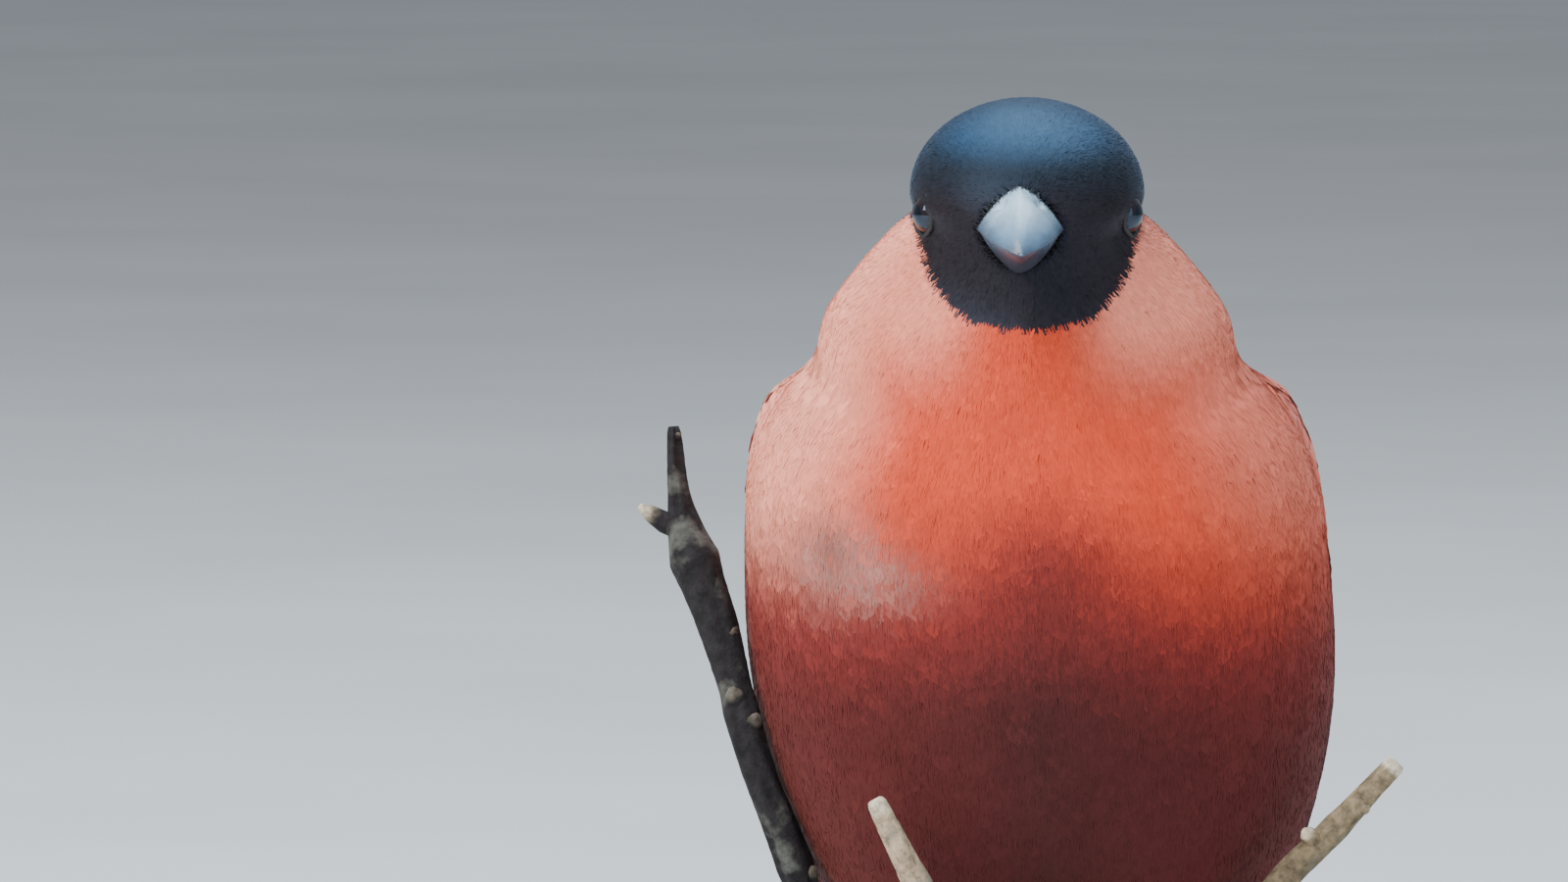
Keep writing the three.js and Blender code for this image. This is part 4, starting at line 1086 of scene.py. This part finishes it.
bristle_ways += PICK.normal(0, 0.12, bristle_ways.shape)
bristles = cone_bristles("bill_bristles", bristle_roots, bristle_ways, bristle_material)
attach(bristles, "root")

# The eyes are dark brown, set at the sides of the head. Each is a glossy ball, slightly raised in
# front, rimmed by a ring of thin dark lid skin.
PUPIL, IRIS = (0.002, 0.002, 0.003), (0.018, 0.008, 0.005)
LID_DARK, LID_LIGHT = (0.006, 0.006, 0.008), (0.018, 0.018, 0.02)
LID_RING_RADIUS, LID_THICK, LID_OUT = 2.25, 0.34, 1.5
EYE_ROWS, EYE_COLUMNS, LID_STEPS, LID_SIDES = 40, 56, 64, 12

eye_finish = Finish("eye_gloss", Roughness=0.06, Specular_IOR_Level=0.8, Specular_Tint=(0.4, 0.66, 1.0, 1))
eye_rays = eye_finish.noise(eye_finish.place(), 2600)
eye_material = eye_finish.finish(eye_finish.shaded(eye_finish.painted(), eye_rays, (0.3, 0.7), (0.7, 1.0)))
lid_finish = Finish("lid_skin", Roughness=0.5, Specular_IOR_Level=0.4)
lid_folds = lid_finish.noise(lid_finish.place(), 3000)
lid_tone = lid_finish.ramp(lid_folds, (0.3, LID_DARK), (0.7, LID_LIGHT))
lid_material = lid_finish.finish(lid_tone, bumps=[(lid_folds, 0.0001)])
from_axis = np.linspace(0.002, np.pi - 0.002, EYE_ROWS)[:, None]
turned = np.linspace(0, 2 * np.pi, EYE_COLUMNS, endpoint=False)[None, :, None]
bulge = EYE_RADIUS * (1 + 0.05 * np.exp(-((from_axis / 0.5) ** 2)))[..., None]
iris_share = ease(from_axis, 0.42, 0.5) * (1 - ease(from_axis, 0.95, 1.1))
iris_share = np.append(np.repeat(iris_share, EYE_COLUMNS), [0, 0])
lid_turn = np.linspace(0, 2 * np.pi, LID_STEPS, endpoint=False)[:, None, None]
tube_turn = np.linspace(0, 2 * np.pi, LID_SIDES, endpoint=False)[None, :, None]
for hand, side in ((1, "left"), (-1, "right")):
    centre = place(HEAD_X + hand * EYE_SIDE, EYE_FORWARD, EYE_DEPTH)
    look = unit(np.array([hand * 0.93, -0.36, 0.0]))
    level = unit(np.cross(look, [0, 0, 1]))
    upright = np.cross(level, look)
    ring = np.sin(from_axis)[..., None] * (np.cos(turned) * level + np.sin(turned) * upright)
    ball = centre + bulge * (ring + np.cos(from_axis)[..., None] * look)
    eye = mesh_piece(f"eyeball_{side}", *closed_tube(ball))
    paint(eye, tint(PUPIL, IRIS, iris_share))
    fix(eye, eye_material, "eye", f"eye_{side}")

    spoke = np.cos(lid_turn) * level + np.sin(lid_turn) * upright
    radius = LID_RING_RADIUS + 0.05 * np.sin(7 * lid_turn)
    fold = LID_THICK * (1 + 0.12 * np.sin(19 * lid_turn + hand))
    ring = centre + look * (LID_OUT + fold * np.sin(tube_turn)) + spoke * (radius + fold * np.cos(tube_turn))
    ring_faces = grid_faces(LID_STEPS + 1, LID_SIDES) % (LID_STEPS * LID_SIDES)
    lid = mesh_piece(f"eyelid_{side}", *turned_out(ring.reshape(-1, 3), ring_faces))
    fix(lid, lid_material, "black_plumage")

# The legs are bare below the feathered thighs: a thin shank and four toes that clasp the branch, three
# in front and one behind, covered in dark flesh-brown scutes, each toe with a curved horn claw.
PERCH_FORWARD, PERCH_DEPTH, PERCH_RADIUS = -1, 113, 6.0
CAD_GAP = 0.3
TOE_RADIUS, SHANK_RADIUS, ANKLE_RADIUS, CLAW_RADIUS = 0.95, 0.93, 1.35, 0.62
GRIP_RADIUS = PERCH_RADIUS + CAD_GAP + TOE_RADIUS
KNEE_DEPTH, ANKLE_RISE, ANKLE_STEPS = 97.5, 1.1, 16
LEG_BROWN, LEG_PALE = (0.085, 0.050, 0.040), (0.22, 0.145, 0.115)
CLAW_BLACK, CLAW_BROWN = (0.018, 0.014, 0.013), (0.05, 0.036, 0.03)

# Each toe: where round the branch it ends, in degrees, how far it drifts aside and how long its claw is.
TOES = ((-28, 0.4, 4.2), (4, 4.0, 3.8), (4, -4.0, 3.8), (196, -0.6, 5.0))


def tube(path, radii, columns, up=(0, 0, 1)):
    """Rings of points round a path. radii has one value, or a row of values, for each ring."""
    path = np.asarray(path, float)
    forward = unit(np.gradient(path, axis=0))
    side = unit(np.cross(forward, up))
    over = np.cross(side, forward)
    turn = np.linspace(0, 2 * np.pi, columns, endpoint=False)[None, :, None]
    radii = np.broadcast_to(np.asarray(radii, float).reshape(len(path), -1), (len(path), columns))
    return path[:, None] + radii[..., None] * (np.cos(turn) * side[:, None] + np.sin(turn) * over[:, None])


def on_branch(x, angle, radius):
    """A place round the branch's axis: 90 degrees is its top and 0 its front."""
    x, angle, radius = np.broadcast_arrays(x, np.radians(angle), radius)
    middle = np.stack([x, -PERCH_FORWARD + 0 * x, CROWN - PERCH_DEPTH + 0 * x], -1)
    return middle + np.stack([0 * x, -radius * np.cos(angle), radius * np.sin(angle)], -1)


leg = Finish("leg_scales", Roughness=0.48, Specular_IOR_Level=0.45)
leg_grain = leg.noise(leg.place(), 900)
leg_cells = leg.node("TexVoronoi", {"feature": "DISTANCE_TO_EDGE"}, Vector=leg.place(), Scale=1700.0)
leg_plates = leg.ramp(leg_cells.outputs["Distance"], (0.0, 0.0), (0.15, 1.0))
leg_tone = leg.ramp(leg_grain, (0.3, LEG_BROWN), (0.75, LEG_PALE))
leg_material = leg.finish(leg_tone, leg.ramp(leg_grain, (0.3, 0.4), (0.7, 0.6)), [(leg_plates, 0.00006)])
claw_finish = Finish("claw_horn", Roughness=0.28, Specular_IOR_Level=0.5)
claw_lines = claw_finish.noise(claw_finish.place(2500, 2500, 900), 1.0)
claw_tone = claw_finish.ramp(claw_lines, (0.3, CLAW_BLACK), (0.75, CLAW_BROWN))
claw_material = claw_finish.finish(claw_tone, bumps=[(claw_lines, 0.00002)])
for hand, side in ((1, "left"), (-1, "right")):
    x = hand * FOOT_SIDE
    ankle = place(x, PERCH_FORWARD, PERCH_DEPTH - PERCH_RADIUS - CAD_GAP - ANKLE_RISE)
    knee = place(x, PERCH_FORWARD - 0.6, KNEE_DEPTH)
    t = np.linspace(0, 1, 46)
    scutes = 1 + 0.06 * np.abs(np.sin(np.pi * 9 * t)) ** 0.6 + 0.16 * np.exp(-(((t - 0.97) / 0.08) ** 2))
    shank = tube(knee + (ankle - knee) * t[:, None], SHANK_RADIUS * scutes, 20, (0, 1, 0))
    limbs, claws = [closed_tube(shank)], []
    for end_angle, drift, claw_length in TOES:
        t = np.linspace(0, 1, 60)
        turn = 90 + (end_angle - 90) * t
        pads = 1 + 0.10 * np.abs(np.sin(np.pi * 3.5 * t)) ** 0.8
        rings = 0.045 * np.abs(np.sin(np.pi * 17 * t)) ** 0.5
        radii = TOE_RADIUS * (1 - 0.26 * t) * (pads + rings) * 0.97
        path = on_branch(x + hand * drift * t**0.7, turn, GRIP_RADIUS - 0.02 * t)
        limbs.append(closed_tube(tube(path, radii, 18, (1, 0, 0))))
        t = np.linspace(-0.1, 1, 22)
        turn = end_angle + np.sign(end_angle - 90) * np.degrees(claw_length / GRIP_RADIUS) * t
        path = on_branch(x + hand * drift, turn, GRIP_RADIUS + 0.5 * np.sin(np.pi * np.clip(t, 0, 1) * 0.8))
        radii = CLAW_RADIUS * (1 - 0.94 * np.clip(t, 0, 1) ** 1.25)
        claws.append(closed_tube(tube(path, radii, 14, (1, 0, 0))))
    knuckle = np.linspace(ankle + (0, 0, 1.2), ankle - (0, 0, ANKLE_RISE), ANKLE_STEPS)
    radii = ANKLE_RADIUS * np.sqrt(np.clip(1 - np.linspace(-0.97, 0.97, ANKLE_STEPS) ** 2, 0.02, 1))
    limbs.append(closed_tube(tube(knuckle, radii, 20, (0, 1, 0))))
    foot = mesh_piece(f"leg_scutes_{side}", *joined(limbs))
    fix(foot, leg_material, "leg_skin", f"foot_{side}")
    fix(mesh_piece(f"claws_{side}", *joined(claws)), claw_material, "leg_skin")

# The perch is a cut length of thin branch with three side shoots. Its bark is dark and fissured, with
# knots, leaf scars and grey lichen. The front shoot is older, bleached bark whose paleness is partly
# painted light, and the right one is young, olive brown wood with a pale cut end that is partly a painted
# glint. The front and right shoots are painted darker toward their roots, low under the bird, as painted
# shade, and paler toward their tips as painted light.
PERCH_FROM, PERCH_TO, PERCH_RINGS, PERCH_SIDES = -44, 46, 150, 72
PERCH_BEND_FROM, PERCH_BEND_BACK, PERCH_BEND_DOWN, PERCH_TAPER = 14, 0.004, 0.003, 0.005
SHOOT_RINGS, SHOOT_SIDES, BUD_RINGS, BUD_SIDES = 130, 40, 26, 24
BARK_DARK, BARK_GREY = (0.017, 0.015, 0.017), (0.095, 0.083, 0.07)
BARK_OLIVE, BARK_BEIGE = (0.095, 0.072, 0.038), (0.30, 0.23, 0.14)
BARK_BLEACHED_AND_LIT, CUT_WOOD, LICHEN = (0.46, 0.35, 0.24), (0.72, 0.62, 0.46), (0.19, 0.20, 0.17)

# Each knot of the perch: where along it, how far it reaches each way and how high it stands.
PERCH_KNOTS = ((27, 5, 0.9), (-29, 4, 0.7))

# Each shoot: its CAD node, path as (x, forward, depth), radii, depth of its bark, bark colours from root
# to tip, darker low down as painted shade and paler high up as painted light, how much of its end is cut
# wood, and its buds, as share along, direction, length, thickness and how pale the tip is.
SHOOTS = (
    (
        "perch_twig_left",
        ((-15, -1, 112), (-20.5, 1, 101), (-26.8, 4.5, 80), (-32, 5, 66), (-35.2, 3, 54), (-39, 1, 43),
         (-40, 0, 33.2)),
        (2.6, 2.3, 2.0, 1.8, 1.6, 1.7, 1.8, 1.7, 1.7, 2.1, 2.4, 1.15, 0.5),
        0.28,
        (BARK_DARK, BARK_DARK, BARK_DARK),
        0.0,
        ((0.87, (-1, -0.2, 0.5), 5.4, 1.1, 0.8), (0.985, (0.7, -0.2, 0.7), 0.8, 0.5, 0.15),
         (0.95, (-0.7, -0.4, 0.7), 1.0, 0.6, 0.15), (0.73, (0.8, -0.7, 0.9), 2.2, 1.1, 0.15),
         (0.655, (-0.4, -1, 0.9), 2.2, 1.3, 0.15), (0.625, (0.7, -0.7, 0.6), 2.3, 1.2, 0.15),
         (0.42, (0.8, -0.7, 0.9), 2.3, 1.1, 0.15), (0.36, (-0.9, -0.5, 0.9), 2.2, 1.1, 0.15)),
    ),
    (
        "perch_twig_front",
        ((1, 2, 112), (-2, 12, 107), (-6, 20, 97), (-11.8, 24.5, 84.5), (-15.4, 27, 77.2),
         (-19.5, 28, 68.8)),
        (2.6, 2.4, 2.3, 1.9, 1.5, 0.95),
        0.16,
        (BARK_GREY, BARK_BLEACHED_AND_LIT, BARK_BLEACHED_AND_LIT),
        0.03,
        ((0.45, (1, -0.4, 0.6), 2.6, 1.0, 0.8),),
    ),
    (
        "perch_twig_right",
        ((17.5, 1, 112), (18, 10, 104), (17, 14.5, 86), (21.6, 15.5, 78.4), (26, 15, 74), (33.3, 15, 66.2)),
        (2.5, 2.2, 1.9, 1.6, 1.35, 1.0),
        0.16,
        (BARK_DARK, BARK_OLIVE, BARK_BEIGE),
        0.025,
        ((0.8, (-0.6, -0.5, 0.5), 2.5, 1.0, 0.8), (0.9, (0.5, -0.5, -0.4), 1.7, 0.7, 0.15)),
    ),
)


def along_path(points, count):
    """Evenly spaced places on a smooth curve through the points."""
    points = np.asarray(points, float)
    ends = np.concatenate([[2 * points[0] - points[1]], points, [2 * points[-1] - points[-2]]])
    fine = []
    for k in range(len(points) - 1):
        before, a, b, after = ends[k : k + 4]
        t = np.linspace(0, 1, 40, endpoint=k == len(points) - 2)[:, None]
        fine.append(curve(t, 1, a, b, (b - before) / 2, (after - a) / 2))
    fine = np.concatenate(fine)
    length = np.append(0, np.cumsum(np.linalg.norm(np.diff(fine, axis=0), axis=1)))
    wanted = np.linspace(0, length[-1], count)
    return np.stack([np.interp(wanted, length, fine[:, k]) for k in range(3)], -1)


def rough_ring(path, radii, columns, depth, seed):
    """A tube whose radii are broken into long bark ridges, depth millimetres high."""
    rows = len(path)
    turn = np.arange(columns) / columns * 2 * np.pi
    draw = np.random.default_rng(seed)
    ridges = np.zeros((rows, columns))
    s = np.linspace(0, 1, rows)[:, None] * rows / 12
    for wave in range(2, 9):
        phase = draw.uniform(0, 2 * np.pi, 3)
        twist = 0.9 * np.sin(0.7 * s + phase[0])
        ridges += np.sin(wave * turn + phase[1] + twist) * np.sin(0.35 * wave * s + phase[2]) / wave**0.6
    ridges *= depth / 1.6
    knots = draw.uniform(-0.1, 0.1, (rows, 1)) * depth
    return tube(path, np.asarray(radii)[:, None] + ridges + knots, columns, (0.05, 1, 0.02))


def ring_colours(tones, columns):
    """The colours of a closed tube's points, from one tone for each of its rings."""
    return np.concatenate([np.repeat(tones, columns, 0), [tones[0], tones[-1]]])


def bark_piece(name, grids, colours, node):
    piece = mesh_piece(name, *joined([closed_tube(grid) for grid in grids]))
    paint(piece, np.concatenate(colours))
    fix(piece, bark_material, "bark", node)


bark = Finish("bark", Roughness=0.85, Specular_IOR_Level=0.25)
bark_cracks = bark.noise(bark.place(), 750, 6.0, 0.65)
bark_patches = bark.noise(bark.place(), 205, 4.0)
bark_tone = bark.shaded(bark.painted(), bark_cracks, (0.35, 0.35), (0.65, 1.15))
bark_tone = bark.mix(bark_tone, LICHEN, bark.ramp(bark_patches, (0.56, 0.0), (0.68, 0.4)))
bark_material = bark.finish(bark_tone, bumps=[(bark_cracks, 0.0004), (bark_patches, 0.0003)])

x = np.linspace(PERCH_FROM, PERCH_TO, PERCH_RINGS)
away = np.maximum(0, np.abs(x) - PERCH_BEND_FROM)
perch_y = -PERCH_FORWARD + PERCH_BEND_BACK * away**2
perch_z = CROWN - PERCH_DEPTH - PERCH_BEND_DOWN * away**2
perch_radii = PERCH_RADIUS * (1 - PERCH_TAPER * away)
for at, half_length, height in PERCH_KNOTS:
    perch_radii += height * np.exp(-(((x - at) / half_length) ** 2))
perch_radii[[0, 1, -2, -1]] *= (0.9, 0.985, 0.985, 0.9)
perch_tones = tint(BARK_DARK, BARK_GREY, 0.35 + 0.3 * np.sin(x / 7))
perch_tones[[0, -1]] = CUT_WOOD
perch_grid = rough_ring(np.stack([x, perch_y, perch_z], -1), perch_radii - 0.1, PERCH_SIDES, 0.22, 3)
bark_piece("perch_bark", [perch_grid], [ring_colours(perch_tones, PERCH_SIDES)], "perch")

for number, (node, stops, radii, ridges, tones, cut, buds) in enumerate(SHOOTS):
    path = along_path([place(*stop) for stop in stops], SHOOT_RINGS)
    t = np.linspace(0, 1, SHOOT_RINGS)
    radius = np.interp(t, np.linspace(0, 1, len(radii)), radii)
    radius *= 1 + 0.10 * np.exp(-((np.mod(t * 5 + 0.3, 1) - 0.5) / 0.12) ** 2)
    radius[-1] *= 0.8
    grids = [rough_ring(path, radius, SHOOT_SIDES, ridges, 20 + number)]
    # Painted shade and light: the bark runs from its root's darker tone to its tip's paler one.
    tone = np.stack([np.interp(t, (0, 0.45, 1), channel) for channel in zip(*tones)], -1)
    tone = tint(tone, CUT_WOOD, ease(t, 1 - cut, 1 - cut + 0.01) * (cut > 0))
    colours = [ring_colours(tone, SHOOT_SIDES)]
    for share, way, length, thick, pale in buds:
        ring = int(share * (SHOOT_RINGS - 1))
        s = np.linspace(0, 1, BUD_RINGS)
        bend = unit(np.array(way, float))
        bud = path[ring] + bend * length * s[:, None]
        bud = bud + np.array([0, 0, 0.25]) * (s**2)[:, None] * length * 0.4
        swell = thick * np.interp(s, (0, 0.45, 0.8, 1), (0.85, 1.05, 0.75, 0.25))
        grids.append(rough_ring(bud, swell, BUD_SIDES, 0.08, 40 + number))
        colours.append(ring_colours(tint(tone[ring], CUT_WOOD, pale * ease(s, 0.6, 0.95)), BUD_SIDES))
    bark_piece(node.replace("perch_twig", "shoot"), grids, colours, node)

# The display stand is a turned disc of dark walnut, oiled and waxed, with two brushed steel rods let
# into it that carry the branch.
BASE_RADIUS, BASE_THICK, BASE_BACK = 47.0, 8.0, 8.0
BASE_FOOT, BASE_ROUND, GROOVE_RADIUS, GROOVE_DEEP = 1.0, 2.4, 41.4, 0.32
ROD_RADIUS, ROD_SPREAD = 2.2, 24.0
COLLAR_RADIUS, COLLAR_HEIGHT = 3.6, 1.2
AXIS_RADIUS = 0.02
WALNUT_DARK, WALNUT_LIGHT = (0.055, 0.028, 0.014), (0.125, 0.066, 0.034)
STEEL_DARK, STEEL_LIGHT = (0.42, 0.41, 0.40), (0.60, 0.59, 0.57)


def turned_piece(profile, centre, columns=160):
    """A solid of revolution about an upright axis, its profile as (radius, height) from the bottom."""
    radius, height = np.asarray(profile, float).T[..., None]
    turn = np.linspace(0, 2 * np.pi, columns, endpoint=False)[None]
    x, y = centre[0] + radius * np.cos(turn), centre[1] + radius * np.sin(turn)
    return closed_tube(np.stack([x, y, np.broadcast_to(height, x.shape)], -1))


def rounded(radius, centre_height, start, end, skipped=0):
    """Part of a round on the disc's rim, as (radius, height), from one angle to another."""
    angles = np.linspace(start, end, 10)[skipped:]
    middle = BASE_RADIUS - radius
    return [(middle + radius * np.cos(a), centre_height + radius * np.sin(a)) for a in angles]


base_profile = [(r, 0) for r in (AXIS_RADIUS, 12, 30, 44, BASE_RADIUS - BASE_FOOT)]
base_profile += rounded(BASE_FOOT, BASE_FOOT, -np.pi / 2, 0, 1)
base_profile += [(BASE_RADIUS, 3.2), (BASE_RADIUS, BASE_THICK - 2.8)]
base_profile += rounded(BASE_ROUND, BASE_THICK - BASE_ROUND, 0, np.pi / 2)
base_profile += [(r, BASE_THICK) for r in (43, 42.2)]
base_profile += [(GROOVE_RADIUS + 0.5, BASE_THICK - 0.25), (GROOVE_RADIUS, BASE_THICK - GROOVE_DEEP)]
base_profile += [(GROOVE_RADIUS - 0.5, BASE_THICK - 0.25)]
base_profile += [(r, BASE_THICK) for r in (40.6, 30, 15, AXIS_RADIUS)]
walnut = Finish("walnut", Roughness=0.42, Specular_IOR_Level=0.45, Coat_Weight=0.12, Coat_Roughness=0.3)
along_grain = walnut.place(6, 90, 90)
grain_wave = {"bands_direction": "Y"}
grain = walnut.node("TexWave", grain_wave, Vector=along_grain, Scale=1.1, Distortion=7.0, Detail=4.0)
grain_pores = walnut.noise(walnut.place(120, 2600, 2600), 1.0, 3.0)
walnut_tone = walnut.ramp(grain.outputs["Fac"], (0.15, WALNUT_DARK), (0.8, WALNUT_LIGHT))
walnut_tone = walnut.shaded(walnut_tone, grain_pores, (0.36, 0.45), (0.52, 1.0))
walnut_rough = walnut.ramp(grain_pores, (0.3, 0.55), (0.6, 0.36))
walnut_material = walnut.finish(walnut_tone, walnut_rough, [(grain_pores, 0.00005)])
base = mesh_piece("stand_disc", *turned_piece(base_profile, (0, BASE_BACK)))
fix(base, walnut_material, "base_wood", "stand_base")

steel = Finish("brushed_steel", Metallic=1.0, Roughness=0.3)
steel_lines = steel.noise(steel.place(260, 260, 9000), 1.0, 2.0)
steel_tone = steel.ramp(steel_lines, (0.3, STEEL_DARK), (0.7, STEEL_LIGHT))
steel_rough = steel.ramp(steel_lines, (0.3, 0.24), (0.7, 0.38))
steel_material = steel.finish(steel_tone, steel_rough, [(steel_lines, 0.00001)])
rod_foot, rod_top = BASE_THICK + 0.02, CROWN - PERCH_DEPTH - PERCH_RADIUS + 0.8
rod = [(AXIS_RADIUS, rod_foot), (ROD_RADIUS, rod_foot), (ROD_RADIUS, 14), (ROD_RADIUS, rod_top),
       (AXIS_RADIUS, rod_top)]
collar = [(ROD_RADIUS - 0.1, BASE_THICK), (COLLAR_RADIUS, BASE_THICK), (COLLAR_RADIUS, BASE_THICK + 0.8),
          (COLLAR_RADIUS - 0.5, BASE_THICK + COLLAR_HEIGHT), (ROD_RADIUS - 0.1, BASE_THICK + COLLAR_HEIGHT)]
for hand, side in ((1, "left"), (-1, "right")):
    turned = [turned_piece(profile, (hand * ROD_SPREAD, -PERCH_FORWARD), 48) for profile in (rod, collar)]
    fix(mesh_piece(f"stand_steel_{side}", *joined(turned)), steel_material, "rod_steel", f"stand_rod_{side}")

# The room is plain: a pale floor that runs out of sight, a large soft lamp above and to the left, weaker
# ones in front on the right and above, and weak light from all round.
FLOOR_HALF = 9000
FLOOR_TARGET = Vector((0, 0, 0.1))
LAMPS = (
    ("key", (-0.8, -0.75, 1.1), 1.3, 50.0, (1.0, 0.98, 0.95)),
    ("fill", (0.9, -1.0, 0.5), 1.2, 7.0, (0.9, 0.95, 1.0)),
    ("sky", (0.1, 0.45, 1.35), 1.2, 24.0, (0.7, 0.88, 1.0)),
)

floor_corners = [(x * FLOOR_HALF, y * FLOOR_HALF, 0) for x, y in ((-1, -1), (1, -1), (1, 1), (-1, 1))]
floor = mesh_piece("floor", floor_corners, [(0, 1, 2, 3)])
floor_finish = Finish("pale_floor", Roughness=0.85, Specular_IOR_Level=0.2)
floor_grain = floor_finish.noise(floor_finish.place(), 6)
floor.data.materials.append(floor_finish.finish(floor_finish.ramp(floor_grain, (0.3, 0.60), (0.7, 0.66))))

for name, where, size, power, colour in LAMPS:
    lamp_data = bpy.data.lights.new(name, "AREA")
    lamp_data.size = size
    lamp_data.energy = power
    lamp_data.color = colour
    lamp = bpy.data.objects.new(name, lamp_data)
    lamp.location = where
    lamp.rotation_euler = (FLOOR_TARGET - Vector(where)).to_track_quat("-Z", "Y").to_euler()
    bpy.context.scene.collection.objects.link(lamp)
world = bpy.data.worlds.new("room")
world.use_nodes = True
world.node_tree.nodes["Background"].inputs["Color"].default_value = (0.8, 0.88, 1.0, 1)
world.node_tree.nodes["Background"].inputs["Strength"].default_value = 0.4
bpy.context.scene.world = world
